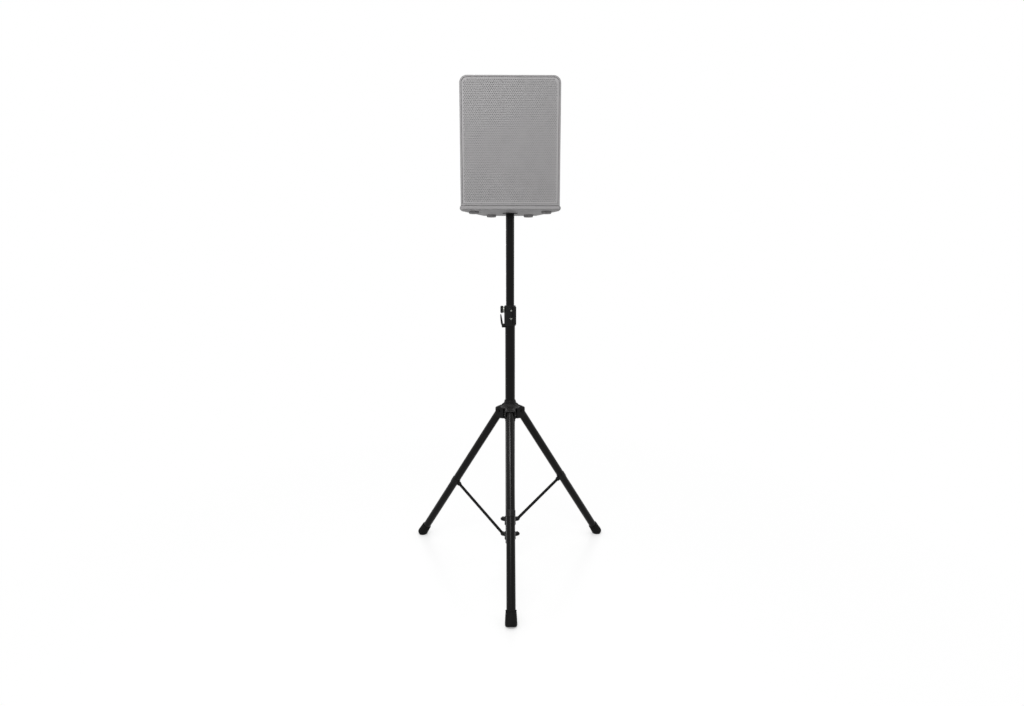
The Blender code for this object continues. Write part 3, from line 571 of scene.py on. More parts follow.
def coated(
    name,
    tone,
    lighter,
    roughness,
    grain=900.0,
    cells=0.0,
    bump=0.15,
    depth=0.0002,
    metallic=0.0,
    specular=0.5,
    worn=None,
    dust_and_sheen=0.0,
    streaks=0.0,
):
    """A coated, moulded or plated finish: mottled tone, grain, rubbed edges, slide marks, and settled dust
    that also serves as a painted sheen on what faces up.
    """
    material = bpy.data.materials.new(name)
    material.use_nodes = True
    tree = material.node_tree
    shader = tree.nodes["Principled BSDF"]
    shader.inputs["Metallic"].default_value = metallic
    shader.inputs["Specular IOR Level"].default_value = specular
    skin = effect(tree, "surface_grain", {"Scale": grain, "Cells": cells})
    base = blend_colour(tree, skin["Mottle"], (*tone, 1), (*(lighter * part for part in tone), 1))
    rough = spread(tree, skin["Mottle"], 0.0, 1.0, *roughness)
    if worn:
        rubbed, amount = worn
        mask = effect(tree, "edge_wear", {})["Mask"]
        base = blend_colour(tree, maths(tree, "MULTIPLY", mask, amount), base, (*rubbed, 1))
    if streaks:
        marks = maths(tree, "MULTIPLY", effect(tree, "slide_marks", {})["Mask"], streaks)
        rough = maths(tree, "SUBTRACT", rough, marks)
    # Lightens what faces up: dust, and on the black mouldings mostly a painted sheen from the light above
    if dust_and_sheen:
        dust_and_sheen_mask = effect(tree, "dust_and_painted_sheen", {"Amount": dust_and_sheen})["Mask"]
        base = blend_colour(tree, dust_and_sheen_mask, base, (*DUST_AND_SHEEN, 1))
        rough = maths(tree, "ADD", rough, dust_and_sheen_mask)
    tree.links.new(base, shader.inputs["Base Color"])
    tree.links.new(rough, shader.inputs["Roughness"])
    height = {"Strength": bump, "Distance": depth, "Height": skin["Height"]}
    relief = add_node(tree, "ShaderNodeBump", height)
    tree.links.new(relief.outputs[0], shader.inputs["Normal"])
    FINISHES[name] = material
    return material


def board_finish():
    """Green board with paler tracks."""
    material = coated("board", (0.020, 0.085, 0.035), 1.3, (0.35, 0.5), bump=0.05)
    tree = material.node_tree
    shader = tree.nodes["Principled BSDF"]
    winding = {"Vector": surface_place(tree), "Scale": 60.0, "Distortion": 9.0, "Detail": 0.0}
    lines = add_node(tree, "ShaderNodeTexWave", winding)
    tracks = spread(tree, lines.outputs[1], 0.72, 0.76)
    plain = shader.inputs["Base Color"].links[0].from_socket
    paler = (0.08, 0.22, 0.09, 1)
    tree.links.new(blend_colour(tree, tracks, plain, paler), shader.inputs["Base Color"])


class STAND_OT_finishes(Operator):
    """Makes the shared effects and the finishes of all the pieces"""

    bl_idname = "stand.finishes"
    bl_label = "Finishes"

    def execute(self, context):
        tones = context.scene.stand_colours
        grain_group()
        wear_group()
        dust_and_sheen_group()
        streak_group()
        bare_steel = (0.16, 0.16, 0.155)
        rubbed_nylon = (0.036, 0.035, 0.034)
        rubbed_rubber = (0.028, 0.028, 0.027)
        bright_zinc = (0.50, 0.50, 0.47)
        rubbed_shell = (0.44, 0.43, 0.435)
        tubes = {"specular": 0.12, "worn": (bare_steel, 0.20)}
        coated("powder_coat", tones.powder, 1.5, (0.20, 0.25), 1100, 0.25, 0.03, dust_and_sheen=0.012, **tubes)
        coated("pole_coat", tones.powder, 1.3, (0.20, 0.25), 1300, 0.25, 0.03, streaks=0.10, **tubes)
        # The mouldings' large dust amount paints what faces up lighter: a painted sheen from the light
        # above, as well as dust
        moulded = {"specular": 0.13, "worn": (rubbed_nylon, 0.6), "dust_and_sheen": 0.14}
        coated("nylon", tones.nylon, 1.7, (0.28, 0.38), 1500, 0.6, 0.12, **moulded)
        rubbery = {"specular": 0.09, "worn": (rubbed_rubber, 0.5), "dust_and_sheen": 0.03}
        coated("rubber", tones.rubber, 1.9, (0.62, 0.80), 700, 0.2, 0.28, **rubbery)
        coated("grey_rubber", tones.feet, 1.15, (0.66, 0.84), 700, 0.2, 0.28, specular=0.25, dust_and_sheen=0.03)
        plated = {"metallic": 1.0, "worn": (bright_zinc, 0.5)}
        coated("zinc", tones.zinc, 1.25, (0.36, 0.50), 500, 0.9, 0.06, **plated)
        cabinet = {"specular": 0.30, "worn": (rubbed_shell, 0.35), "dust_and_sheen": 0.05}
        coated("shell", tones.shell, 1.06, (0.50, 0.62), 650, 0.85, 0.34, 0.0003, **cabinet)
        sheet = {"specular": 0.30, "worn": (rubbed_shell, 0.2)}
        coated("grille_coat", tones.steel, 1.05, (0.45, 0.58), 1200, 0.4, 0.12, **sheet)
        coated("foam", tones.foam, 1.35, (0.90, 0.98), 420, 1.0, 0.9, 0.0012, specular=0.1)
        coated("paper", tones.paper, 1.8, (0.75, 0.90), 260, 0.1, 0.5, 0.0005, specular=0.2)
        coated("baffle", (0.016, 0.016, 0.016), 1.5, (0.55, 0.70), 800, 0.5, 0.25, specular=0.3)
        coated("ferrite", (0.045, 0.045, 0.048), 1.4, (0.45, 0.65), 300, 0.3, 0.25, specular=0.4)
        board_finish()
        return {"FINISHED"}


# The stand


def tube(name, outside, bore, low, high):
    """A round tube from low to high on Z."""
    return lathe(name, [(outside, high), (outside, low), (bore, low), (bore, high)], 96)


class STAND_OT_tubes(Operator):
    """The mast, with its end plug, and the inner pole with its pin holes"""

    bl_idname = "stand.tubes"
    bl_label = "Mast and Pole"

    def execute(self, context):
        size = context.scene.stand_sizes
        low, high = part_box("mast_tube")
        bore = size.mast_radius - size.mast_wall
        mast = tube("mast", size.mast_radius, bore, low.z, high.z)
        soften(place(mast, STAND), 0.0004)
        dress(mast, "mast_tube_coated", "mast", *COATED, "mast_tube")

        # The plug closes the bottom of the mast, with a round hollow in the middle of it
        edge = low.z - GAP
        plug_r = bore - GAP
        profile = [
            (0, low.z + 0.022),
            (plug_r - 0.001, low.z + 0.022),
            (plug_r, low.z + 0.020),
            (plug_r, edge),
            (size.mast_radius + 0.0004, edge),
            (size.mast_radius + 0.0004, low.z - 0.0022),
            (size.mast_radius - 0.0014, low.z - 0.0035),
            (0.0075, low.z - 0.0035),
            (0.0065, low.z - 0.0020),
            (0, low.z - 0.0020),
        ]
        plug = soften(place(lathe("plug", profile, 72), STAND), 0.0004)
        dress(plug, "mast_end_plug_moulded", "mast", *MOULDED, "mast_end_plug")

        low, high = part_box("pole_tube")
        bore = size.pole_radius - size.pole_wall
        pole = place(tube("pole", size.pole_radius, bore, low.z, high.z), STAND)
        start = PIN_Z + size.hole_pitch / 2
        for i in range(size.pole_holes):
            level = Matrix.Translation((0, AXIS_Y, start + i * size.hole_pitch))
            carve(pole, rod("pin_hole", size.pole_hole, 0.005, 0.03, level @ about_y(-QUARTER), 28))
        soften(pole, 0.0004, angle=50)
        dress(pole, "pole_tube_coated", "pole", "black_powder_coat", "pole_coat", "pole_tube")
        return {"FINISHED"}


class STAND_OT_legs(Operator):
    """The three legs, each with the rounded plug that its bolt passes through"""

    bl_idname = "stand.legs"
    bl_label = "Legs"

    def execute(self, context):
        size = context.scene.stand_sizes
        top, end = -0.004, -(size.leg_length - size.boot_floor)
        bore = size.leg_radius - size.leg_wall
        plain_leg = soften(tube("leg", size.leg_radius, bore, end, top), 0.0004)
        neck = top + GAP
        rise = 0.0130
        plug_end = -0.034
        dome = [(0.0167 * x, rise * z) for x, z in arc(0, 0, 1, 90, 10, 12)[1:]]
        shank = [(bore - GAP, neck), (bore - GAP, plug_end), (0, plug_end)]
        plug = lathe("leg_plug", [(0, rise), *dome, (0.0173, neck), *shank], 72)
        carve(plug, rod("bolt_hole", BOLT_HOLE, -0.03, 0.03, about_x(QUARTER), 24))
        for side in SIDES:
            at = leg_frame(side, size.leg_angle)
            leg = copy_of(plain_leg, at)
            dress(leg, f"leg_{side}_coated", f"leg_{side}", *COATED, f"leg_tube_{side}")
            cap = copy_of(plug, at)
            dress(cap, f"leg_{side}_plug", f"leg_{side}", *MOULDED, f"leg_top_plug_{side}")
        discard(plain_leg)
        discard(plug)
        return {"FINISHED"}


class STAND_OT_boots(Operator):
    """The rubber boots, with a lip, grooves, and a sole cut flat on the ground"""

    bl_idname = "stand.boots"
    bl_label = "Boots"

    def execute(self, context):
        size = context.scene.stand_sizes
        low = -size.leg_length
        top = low + size.boot_length
        tube_end = low + size.boot_floor - GAP
        bore = size.leg_radius + GAP
        upper, wide = size.boot_top, size.boot_radius
        widest = low + 0.016
        lip = [(upper - 0.0006, top), (upper + 0.0004, top - 0.0010), (upper + 0.0004, top - 0.0042)]
        grooves = []
        for i in range(size.boot_grooves):
            level = top - 0.0062 - i * 0.0045
            radius = upper + (wide - upper) * (top - level) / (top - widest)
            grooves += [
                (radius, level + 0.0010),
                (radius - 0.0009, level + 0.0005),
                (radius - 0.0009, level - 0.0005),
                (radius, level - 0.0010),
            ]
        toe_r = 0.0085
        toe = arc(wide - toe_r, low + toe_r, toe_r, 0, -90, 8)
        inside = [(0, tube_end), (bore, tube_end), (bore, top)]
        profile = [*inside, *lip, *grooves, (wide, widest), *toe, (0, low)]
        boot = soften(lathe("boot", profile, 88), 0.0003, angle=25)
        for side in SIDES:
            shod = copy_of(boot, leg_frame(side, size.leg_angle))
            with editing(shod):
                bpy.ops.mesh.bisect(
                    plane_co=(0, 0, 0), plane_no=(0, 0, 1), use_fill=True, clear_inner=True
                )
            round_edges(shod, lambda edge: max(v.co.z for v in edge.verts) < 0.00001, 0.0004, 2)
            dress(shod, f"boot_{side}", f"leg_{side}", "rubber", "rubber", f"foot_boot_{side}")
        discard(boot)
        return {"FINISHED"}


def lug_outline(start, pivot, radius):
    """An arm with a round end about its pivot."""
    return [(start, -radius), *arc(pivot, 0, radius, -90, 90, 16), (start, radius)]


def rivet(half, shank, head, rise):
    """A shank between two domed heads, along Y."""
    dome = [(head * x, half + rise * z) for x, z in arc(0, 0, 1, 72, 0, 3)]
    upper = [(0, half + rise), *dome, (shank, half)]
    lower = [(x, -z) for x, z in upper[::-1]]
    return place(lathe("rivet", [*upper, *lower], 32), about_x(QUARTER))


class STAND_OT_struts(Operator):
    """The flat struts, the brackets that hang them on the legs, and their rivets"""

    bl_idname = "stand.struts"
    bl_label = "Struts"

    def execute(self, context):
        size = context.scene.stand_sizes
        half = size.strut_width / 2
        slot = size.strut_slot / 2
        cheeks = size.lug_thick / 2
        offset = 0.025
        eye = 0.0033
        bracket = rod("bracket", 0.0193, -0.013, 0.013, sides=72)
        soften(bracket, 0.0012, 3)
        outline = [(-x, z) for x, z in lug_outline(0.0165, offset, size.lug_radius)]
        fuse(bracket, soften(prism("lug", outline, -cheeks, cheeks), 0.0008))
        carve(bracket, rod("bore", size.leg_radius + GAP, -0.03, 0.03, sides=96))
        carve(bracket, block("slot", (-0.05, -slot, -0.02), (-0.012, slot, 0.02)))
        hinge = Matrix.Translation((-offset, 0, 0)) @ about_x(QUARTER)
        carve(bracket, rod("hole", eye, -0.02, 0.02, hinge, 24))
        pin = rivet(cheeks + GAP, 0.003, 0.0048, 0.002)
        for side in SIDES:
            leg = leg_frame(side, size.leg_angle)
            hang = Vector(JOINTS[f"strut_{side}_swing"]["pos_m"])
            down = -(leg.inverted() @ hang).z
            seat = leg @ Matrix.Translation((0, 0, -down))
            held = copy_of(bracket, seat)
            dress(held, f"strut_{side}_bracket", f"leg_{side}", *MOULDED, f"strut_bracket_{side}")
            joint = copy_of(pin, seat @ Matrix.Translation((-offset, 0, 0)))
            dress(joint, f"strut_{side}_rivet", f"leg_{side}", *COATED, f"strut_rivet_{side}")

            # The bar hangs from the rivet and ends between the cheeks of its ring
            ring = "lower" if side == "left" else "upper"
            end = arm(side) @ Vector((size.ring_reach, 0, RING_Z[ring]))
            across = math.hypot(hang.x - end.x, hang.y - end.y)
            reach = (hang - end).length
            outline = [*arc(0, 0, half, 0, 180, 14), *arc(0, -reach, half, 180, 360, 14)]
            bar = prism("strut", outline, -size.strut_thick / 2, size.strut_thick / 2)
            carve(bar, rod("eye", eye, -0.02, 0.02, about_x(QUARTER), 24))
            soften(bar, 0.0007, 2, 50)
            lean = math.atan2(across, hang.z - end.z)
            place(bar, Matrix.Translation(hang) @ about_z(AZIMUTHS[side]) @ about_y(lean))
            dress(bar, f"strut_{side}_flat", f"strut_{side}_bar", *COATED, f"strut_{side}")
        discard(bracket)
        discard(pin)
        return {"FINISHED"}


class STAND_OT_brace_rings(Operator):
    """The two rings low on the mast, each with three forked lugs and their rivets"""

    bl_idname = "stand.brace_rings"
    bl_label = "Brace Rings"

    def execute(self, context):
        size = context.scene.stand_sizes
        slot = size.strut_slot / 2
        cheeks = size.lug_thick / 2
        bore = size.mast_radius + GAP
        shank = 0.0028
        profile = [
            (0, cheeks + 0.0020),
            (0.0018, cheeks + 0.0019),
            (0.0034, cheeks + 0.0013),
            (0.0045, cheeks),
            (shank, cheeks),
            (shank, slot + GAP),
            (0, slot + GAP),
        ]
        head = place(lathe("head", profile, 28), about_x(QUARTER))
        for name, z in RING_Z.items():
            low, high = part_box(f"{name}_brace_ring")
            half = (high.z - low.z) / 2
            profile = [
                (size.ring_radius, half),
                (size.ring_radius, half - 0.006),
                (size.ring_radius - 0.0008, half - 0.0066),
                (size.ring_radius - 0.0008, 0.0066 - half),
                (size.ring_radius, 0.006 - half),
                (size.ring_radius, -half),
                (bore, -half),
                (bore, half),
            ]
            band = soften(lathe("band", profile, 80), 0.0012, 3)
            for side in SIDES:
                outline = lug_outline(0.0232, size.ring_reach, size.lug_radius)
                lug = soften(prism("lug", outline, -cheeks, cheeks), 0.0009, 2, 50)
                fuse(band, place(lug, about_z(AZIMUTHS[side])))
            for side in SIDES:
                gap = block("gap", (size.ring_radius + 0.0006, -slot, -0.03), (0.06, slot, 0.03))
                carve(band, place(gap, about_z(AZIMUTHS[side])))
            place(band, Matrix.Translation((0, AXIS_Y, z)))
            dress(band, f"{name}_ring_moulded", "mast", *MOULDED, f"{name}_brace_ring")
            for side in SIDES:
                at = Matrix.Translation((0, 0, z)) @ arm(side) @ Matrix.Translation((size.ring_reach, 0, 0))
                near = copy_of(head, at)
                far = copy_of(head, at @ about_z(math.pi))
                activate(near)
                far.select_set(True)
                bpy.ops.object.join()
                dress(near, f"{name}_ring_rivet_{side}", "mast", *COATED)
        discard(head)
        return {"FINISHED"}


def hub_roof(size):
    """A hood's roof from its outer edge up to the ring, as distances from the mast's axis and heights."""
    sweep = [(0.0475, 0.0222), (0.0385, 0.0264), (0.0315, 0.0322), (0.027, 0.0373)]
    points = [(size.hub_reach, 0.0160), *sweep]
    return [(radius, PIVOT_Z + rise) for radius, rise in flowing(points, 4)]


def round_shoulders(outline, half, radius, end_from):
    """A bar of that outline, widened at both sides in steps that draw in its roof and its outer end."""
    hood = prism("hood", outline, radius - half, half - radius)
    curve = arc(0, 0, radius, 90, 0, 5)
    roof_from = PIVOT_Z + 0.003

    def on_side(vertex):
        return abs(vertex.co.y - at) < WELD

    for sign in (1, -1):
        at = sign * (half - radius)
        for (start, high), (end, low) in zip(curve, curve[1:]):
            step = sign * (end - start)
            drop = low - high
            with editing(hood):
                pick(hood, "FACE", lambda face: all(on_side(vertex) for vertex in face.verts))
                bpy.ops.mesh.extrude_region_move(TRANSFORM_OT_translate={"value": (0, step, 0)})
                at += step
                pick(hood, "VERT", lambda vertex: on_side(vertex) and vertex.co.z > roof_from)
                bpy.ops.transform.translate(value=(0, 0, drop))
                pick(hood, "VERT", lambda vertex: on_side(vertex) and vertex.co.x > end_from)
                bpy.ops.transform.translate(value=(drop / 2, 0, 0))
    return hood


class STAND_OT_hub(Operator):
    """The sliding hub with its three hooded forks, its top ring and the bolts of the legs"""

    bl_idname = "stand.hub"
    bl_label = "Hub"

    def execute(self, context):
        size = context.scene.stand_sizes
        roof = hub_roof(size)
        outer_z = roof[0][1]
        bend, bend_z = roof[4]
        bottom = PIVOT_Z - 0.031
        shoulder = PIVOT_Z + 0.0385
        crest = roof[-1][1]
        sleeve_r = 0.0267
        bore = size.mast_radius + GAP
        reach = size.hub_reach
        half = size.hub_width / 2

        # A hood: its roof sweeps up to the ring between rounded shoulders, with ribs along it
        root = 0.0225
        outline = [
            (root, bottom),
            (reach - 0.010, bottom),
            (reach, bottom + 0.013),
            (reach, outer_z - 0.0024),
            (reach - 0.0005, outer_z - 0.0008),
            (reach - 0.0017, outer_z + 0.0003),
            *roof[1:],
            (root, crest),
        ]
        hood = round_shoulders(outline, half, 0.0062, reach - 0.015)
        ribbed = [(radius, z) for radius, z in roof if 0.030 < radius < reach - 0.003]
        crown = [(radius, z + 0.0010) for radius, z in ribbed[1:-1]]
        rib_line = [*[(radius, z - 0.002) for radius, z in ribbed[::-1]], *crown]
        rib_pitch = 0.0074
        rib_half = 0.0011
        for i in range(size.hub_ribs):
            across = (i - (size.hub_ribs - 1) / 2) * rib_pitch
            rib = prism("rib", rib_line, across - rib_half, across + rib_half)
            fuse(hood, soften(rib, 0.0005, 2))
        inner = sleeve_r + 0.002
        pocket_line = [
            (inner, bottom - 0.02),
            (0.09, bottom - 0.02),
            (0.09, outer_z - size.hub_roof),
            (reach + 0.002, outer_z - size.hub_roof),
            (bend, bend_z - size.hub_roof),
            (inner, bend_z - size.hub_roof + 0.4 * (bend - inner)),
        ]
        pocket = prism("pocket", pocket_line, -size.hub_slot / 2, size.hub_slot / 2)
        hinge = Matrix.Translation((PIVOT_R, 0, PIVOT_Z)) @ about_x(QUARTER)

        profile = [(0, shoulder), (sleeve_r, shoulder), (sleeve_r, bottom - 0.001), (0, bottom - 0.001)]
        hub = soften(lathe("hub", profile, 88), 0.0006)

        # A skirt fills in between the hoods, a little under their roofs
        under = 0.0012
        rim = 0.0425
        inside = 0.0245
        sloped = [(radius, z - under) for radius, z in roof[::-1] if radius < rim]
        rim_z = sloped[-1][1] - under
        edge = [(rim, rim_z), (rim, rim_z - 0.003), (inside, rim_z - 0.012)]
        skirt = lathe("skirt", [(inside, sloped[0][1]), *sloped, *edge], 88)
        fuse(hub, soften(skirt, 0.0012, 3, 60))
        for side in SIDES:
            fuse(hub, copy_of(hood, about_z(AZIMUTHS[side])))
        knob_line = Matrix.Translation((0, 0, KNOB_Z)) @ about_x(-QUARTER)
        fuse(hub, soften(rod("boss", 0.011, 0.023, 0.034, knob_line, 48), 0.0008))
        for side in SIDES:
            carve(hub, copy_of(pocket, about_z(AZIMUTHS[side])))
            carve(hub, rod("bolt_hole", BOLT_HOLE, -0.03, 0.03, about_z(AZIMUTHS[side]) @ hinge, 28))
        carve(hub, rod("stud_hole", BOLT_HOLE, 0.015, 0.04, knob_line, 28))
        carve(hub, rod("bore", bore, bottom - 0.02, shoulder + 0.02, sides=88))
        place(hub, STAND)
        dress(hub, "hub_moulded", "hub", *MOULDED, "leg_hub")
        discard(hood)
        discard(pocket)

        # The ring on top of the hub closes in on the mast, with a bead round its foot
        seat, top = shoulder + GAP, shoulder + 0.013
        cone = [
            (0.0232, top),
            (0.0243, top - 0.0012),
            (0.0258, seat + 0.0042),
            (0.0252, seat + 0.0036),
            (0.0252, seat + 0.0030),
            (0.0270, seat + 0.0024),
            (0.0270, seat),
            (bore, seat),
            (bore, top),
        ]
        ring = soften(place(lathe("ring", cone, 88), STAND), 0.0004, angle=25)
        dress(ring, "hub_ring_moulded", "hub", *MOULDED, "hub_top_ring")

        # Hexagon bolts with washers
        face = half + GAP
        washer = [(0, face + 0.0008), (0.0086, face + 0.0008), (0.0086, face), (0.004, face)]
        bolt = lathe("bolt", [*washer, *[(x, -z) for x, z in washer[::-1]]], 48)
        for sign in (1, -1):
            at = Matrix.Translation((0, 0, sign * (face + 0.0023)))
            fuse(bolt, soften(rod("head", 0.0068, -0.0017, 0.0017, at, 6), 0.0006, 2))
        place(bolt, about_x(QUARTER))
        for side in SIDES:
            screw = copy_of(bolt, arm(side) @ Matrix.Translation((PIVOT_R, 0, PIVOT_Z)))
            dress(screw, f"leg_{side}_bolt", "hub", *COATED, f"leg_bolt_{side}")
        discard(bolt)
        return {"FINISHED"}


class STAND_OT_hub_knob(Operator):
    """The lobed knob that clamps the hub on the mast"""

    bl_idname = "stand.hub_knob"
    bl_label = "Hub Knob"

    def execute(self, context):
        size = context.scene.stand_sizes
        profile = [
            (0, 0.0572),
            (0.0070, 0.0572),
            (0.0078, 0.0580),
            (0.0140, 0.0580),
            (0.0176, 0.0566),
            (0.0193, 0.0540),
            (0.0195, 0.0515),
            (0.0195, 0.0425),
            (0.0165, 0.0395),
            (0.0090, 0.0390),
            (0.0090, 0.0345),
            (0.0040, 0.0345),
            (0.0040, 0.0216),
            (0, 0.0216),
        ]
        knob = lathe("knob", profile, 96)
        for i in range(size.knob_lobes):
            turn = about_z(math.tau * i / size.knob_lobes)
            hollow = rod("hollow", 0.0075, 0.036, 0.062, turn @ Matrix.Translation((0.0240, 0, 0)), 40)
            carve(knob, hollow)
        soften(knob, 0.0009, 3, 40)
        place(knob, Matrix.Translation((0, AXIS_Y, KNOB_Z)) @ about_x(-QUARTER))
        dress(knob, "hub_knob_moulded", "hub_knob", *MOULDED, "hub_clamp_knob")
        return {"FINISHED"}


def screw_head(radius, rise):
    """A pan head with a cross recess, its seat at zero on Z."""
    dome = [(radius * x, rise * (0.35 + 0.65 * z)) for x, z in arc(0, 0, 1, 75, 0, 5)]
    head = lathe("screw", [(0, rise), *dome, (radius, -0.001), (0, -0.001)], 32)
    long, thin = radius * 0.62, radius * 0.13
    for x, y in ((long, thin), (thin, long)):
        carve(head, block("recess", (-x, -y, rise * 0.45), (x, y, rise * 2)))
    return head


class STAND_OT_collar(Operator):
    """The height collar at the top of the mast, with its liner and screws"""

    bl_idname = "stand.collar"
    bl_label = "Height Collar"

    def execute(self, context):
        size = context.scene.stand_sizes
        radius = size.collar_radius
        top, bottom = COLLAR_TOP, COLLAR_BOTTOM
        lever = LEVER_AT
        profile = [
            (0, top),
            (radius - 0.0012, top),
            (radius, top - 0.0015),
            (radius, top - 0.0075),
            (radius - 0.0006, top - 0.0080),
            (radius - 0.0006, top - 0.0088),
            (radius, top - 0.0093),
            (radius, bottom + 0.003),
            (radius - 0.001, bottom),
            (0, bottom),
        ]
        collar = soften(lathe("collar", profile, 96), 0.0004, angle=25)
        flange = block("flange", (0.012, -0.0252, bottom + 0.0065), (0.0258, -0.008, top - 0.001))
        fuse(collar, soften(flange, 0.0018, 3))
        thick = 0.0105
        low, high = (lever.x - 0.005, -thick, lever.z - 0.006), (-0.012, thick, lever.z + 0.0095)
        fuse(collar, soften(block("cheeks", low, high), 0.0022, 3))
        slot = 0.0064
        low, high = (-0.06, -slot, lever.z - 0.02), (0.0001 - radius, slot, lever.z + 0.0235)
        hinge = Matrix.Translation((lever.x, 0, lever.z)) @ about_x(QUARTER)
        cuts = [
            block("lever_slot", low, high),
            block("split", (0.0148, -0.03, bottom), (0.0160, -0.0232, top)),
            rod("bore", size.mast_radius + GAP, bottom - 0.03, top + 0.02, sides=96),
            rod("pivot", LEVER_HOLE, -0.02, 0.02, hinge, 20),
            rod("seat", 0.0078, 0.01, 0.04, Matrix.Translation((0, 0, PIN_Z)) @ about_y(-QUARTER), 40),
        ]
        carve(collar, *cuts)
        place(collar, STAND)
        dress(collar, "collar_moulded", "mast", *MOULDED, "height_collar")

        rim = top + 0.0033
        bush = size.mast_radius - size.mast_wall - GAP
        bore = size.pole_radius + GAP
        profile = [
            (radius - 0.0024, rim),
            (radius - 0.0015, rim - 0.0008),
            (radius - 0.0015, top + GAP),
            (bush, top + GAP),
            (bush, bottom),
            (bore, bottom),
            (bore, rim - 0.0012),
            (bore + 0.0012, rim),
        ]
        liner = soften(place(lathe("liner", profile, 96), STAND), 0.0003)
        dress(liner, "collar_liner_moulded", "mast", *MOULDED, "collar_liner")

        # Two clamp screws beside the flange
        head = screw_head(0.0036, 0.0024)
        facing = STAND @ about_z(math.radians(-78.5))
        for label, z in (("upper", top - 0.0175), ("lower", top - 0.0520)):
            at = facing @ Matrix.Translation((radius - 0.0002, 0, z)) @ about_y(QUARTER)
            dress(copy_of(head, at), f"collar_screw_{label}", "mast", "zinc", "zinc")
        discard(head)
        return {"FINISHED"}


class STAND_OT_lever(Operator):
    """The J-shaped clamp lever beside the collar"""

    bl_idname = "stand.lever"
    bl_label = "Clamp Lever"

    def execute(self, context):
        inner = flowing([(-0.0080, 0.0496), (-0.0064, 0.0470), (-0.0026, 0.0270), (0.0002, 0.0120)])
        bow = [(-0.0066, 0.0050), (-0.0084, 0.0110), (-0.0103, 0.0260), (-0.0114, 0.0470), (-0.0108, 0.0496)]
        outer = flowing(bow)
        eye = arc(0, 0, 0.0046, 100, -170, 22)
        lever = prism("lever", [*inner, *eye, *outer], -0.006, 0.006)
        soften(lever, 0.0011, 3, 50)
        carve(lever, rod("eye", LEVER_HOLE, -0.02, 0.02, about_x(QUARTER), 20))
        place(lever, Matrix.Translation(LEVER_AT))
        dress(lever, "lever_moulded", "lever", *MOULDED, "clamp_lever")
        return {"FINISHED"}


class STAND_OT_locking_pin(Operator):
    """The locking pin's zinc barrel and its knurled knob"""

    bl_idname = "stand.locking_pin"
    bl_label = "Locking Pin"

    def execute(self, context):
        size = context.scene.stand_sizes
        at = Matrix.Translation((0, AXIS_Y, PIN_Z)) @ about_y(-QUARTER)
        seat = size.collar_radius + GAP
        barrel_line = [
            (0.0133, 0.0297),
            (0.0140, 0.0290),
            (0.0140, seat + 0.0006),
            (0.0136, seat),
            (0.0075, seat),
            (0.0075, 0.0216),
            (0.0043, 0.0216),
            (0.0043, 0.0297),
        ]
        barrel = soften(place(lathe("barrel", barrel_line, 72), at), 0.0003)
        dress(barrel, "pin_barrel_plated", "mast", "zinc", "zinc", "pin_barrel")

        knob_line = [
            (0, 0.0406),
            (0.0080, 0.0406),
            (0.0086, 0.0412),
            (0.0122, 0.0412),
            (0.0145, 0.0400),
            (0.0155, 0.0372),
            (0.0155, 0.0318),
            (0.0143, 0.0300),
            (0.0040, 0.0300),
            (0.0040, 0.0190),
            (0.0030, 0.0180),
            (0, 0.0180),
        ]
        knob = lathe("pin_knob", knob_line, 44)

        def on_grip(face):
            return math.hypot(*face.calc_center_median().xy) > 0.0148 and abs(face.normal.z) < 0.6

        with editing(knob):
            pick(knob, "FACE", on_grip)
            bpy.ops.mesh.inset(thickness=0.0003, depth=-0.0007, use_individual=True)
        place(knob, at)
        dress(knob, "locking_pin_knurled", "lock_pin", *MOULDED, "locking_pin")
        return {"FINISHED"}


# The loudspeaker


def cabinet_plan(size, inset, front):
    """The cabinet seen from above, drawn in by its walls."""
    narrowing = size.half_width - size.rear_half_width
    lean = math.atan2(narrowing, size.rear + size.taper_from)
    slant = inset / math.cos(lean)
    wide = size.half_width - inset
    rear_wide = size.rear_half_width - slant + inset * math.tan(lean)
    knee = -size.taper_from + (inset - slant) / math.tan(lean)
    half = [(wide, front), (wide, knee), (rear_wide, size.rear - inset)]
    return half + [(-x, y) for x, y in half[::-1]]


def cabinet_face(size, inset, bottom, steps=12):
    """The cabinet seen from the front, with round top corners."""
    wide = size.half_width - inset
    top = size.height - inset
    radius = size.corner - inset
    right = arc(wide - radius, top - radius, radius, 0, 90, steps)
    left = arc(radius - wide, top - radius, radius, 90, 180, steps)
    return [(-wide, bottom), (wide, bottom), *right, *left]


def standing(name, plan, low, high):
    """A bar of a plan in XY, from low to high on Z."""
    return place(prism(name, plan, -high, -low), about_x(-QUARTER))


def cabinet_solid(size, inset, front, bottom):
    """A block of the cabinet's shape, drawn in by its walls."""
    solid = standing("cabinet", cabinet_plan(size, inset, front), bottom, size.height + 0.05)
    face = prism("face", cabinet_face(size, inset, bottom - 0.05), -0.3, 0.3)
    return combine("INTERSECT", solid, [face])


def handle_frame(size, sign):
    """The middle of a handle on one slanted side, X outwards."""
    lean = math.atan2(size.half_width - size.rear_half_width, size.rear + size.taper_from)
    x = (size.half_width + size.rear_half_width) / 2
    y = (size.rear - size.taper_from) / 2
    turn = lean if sign > 0 else math.pi - lean
    return Matrix.Translation((sign * x, y, size.handle_height)) @ about_z(turn)


def cushion_block(name, low, high, corner, segments=6):
    """A box with its four edges along X rounded."""
    return round_edges(block(name, low, high), runs_along(0), corner, segments)


def lies_on(axis, level):
    """A test for edges that lie on a plane."""
    return lambda edge: all(abs(vertex.co[axis] - level) < 0.00005 for vertex in edge.verts)


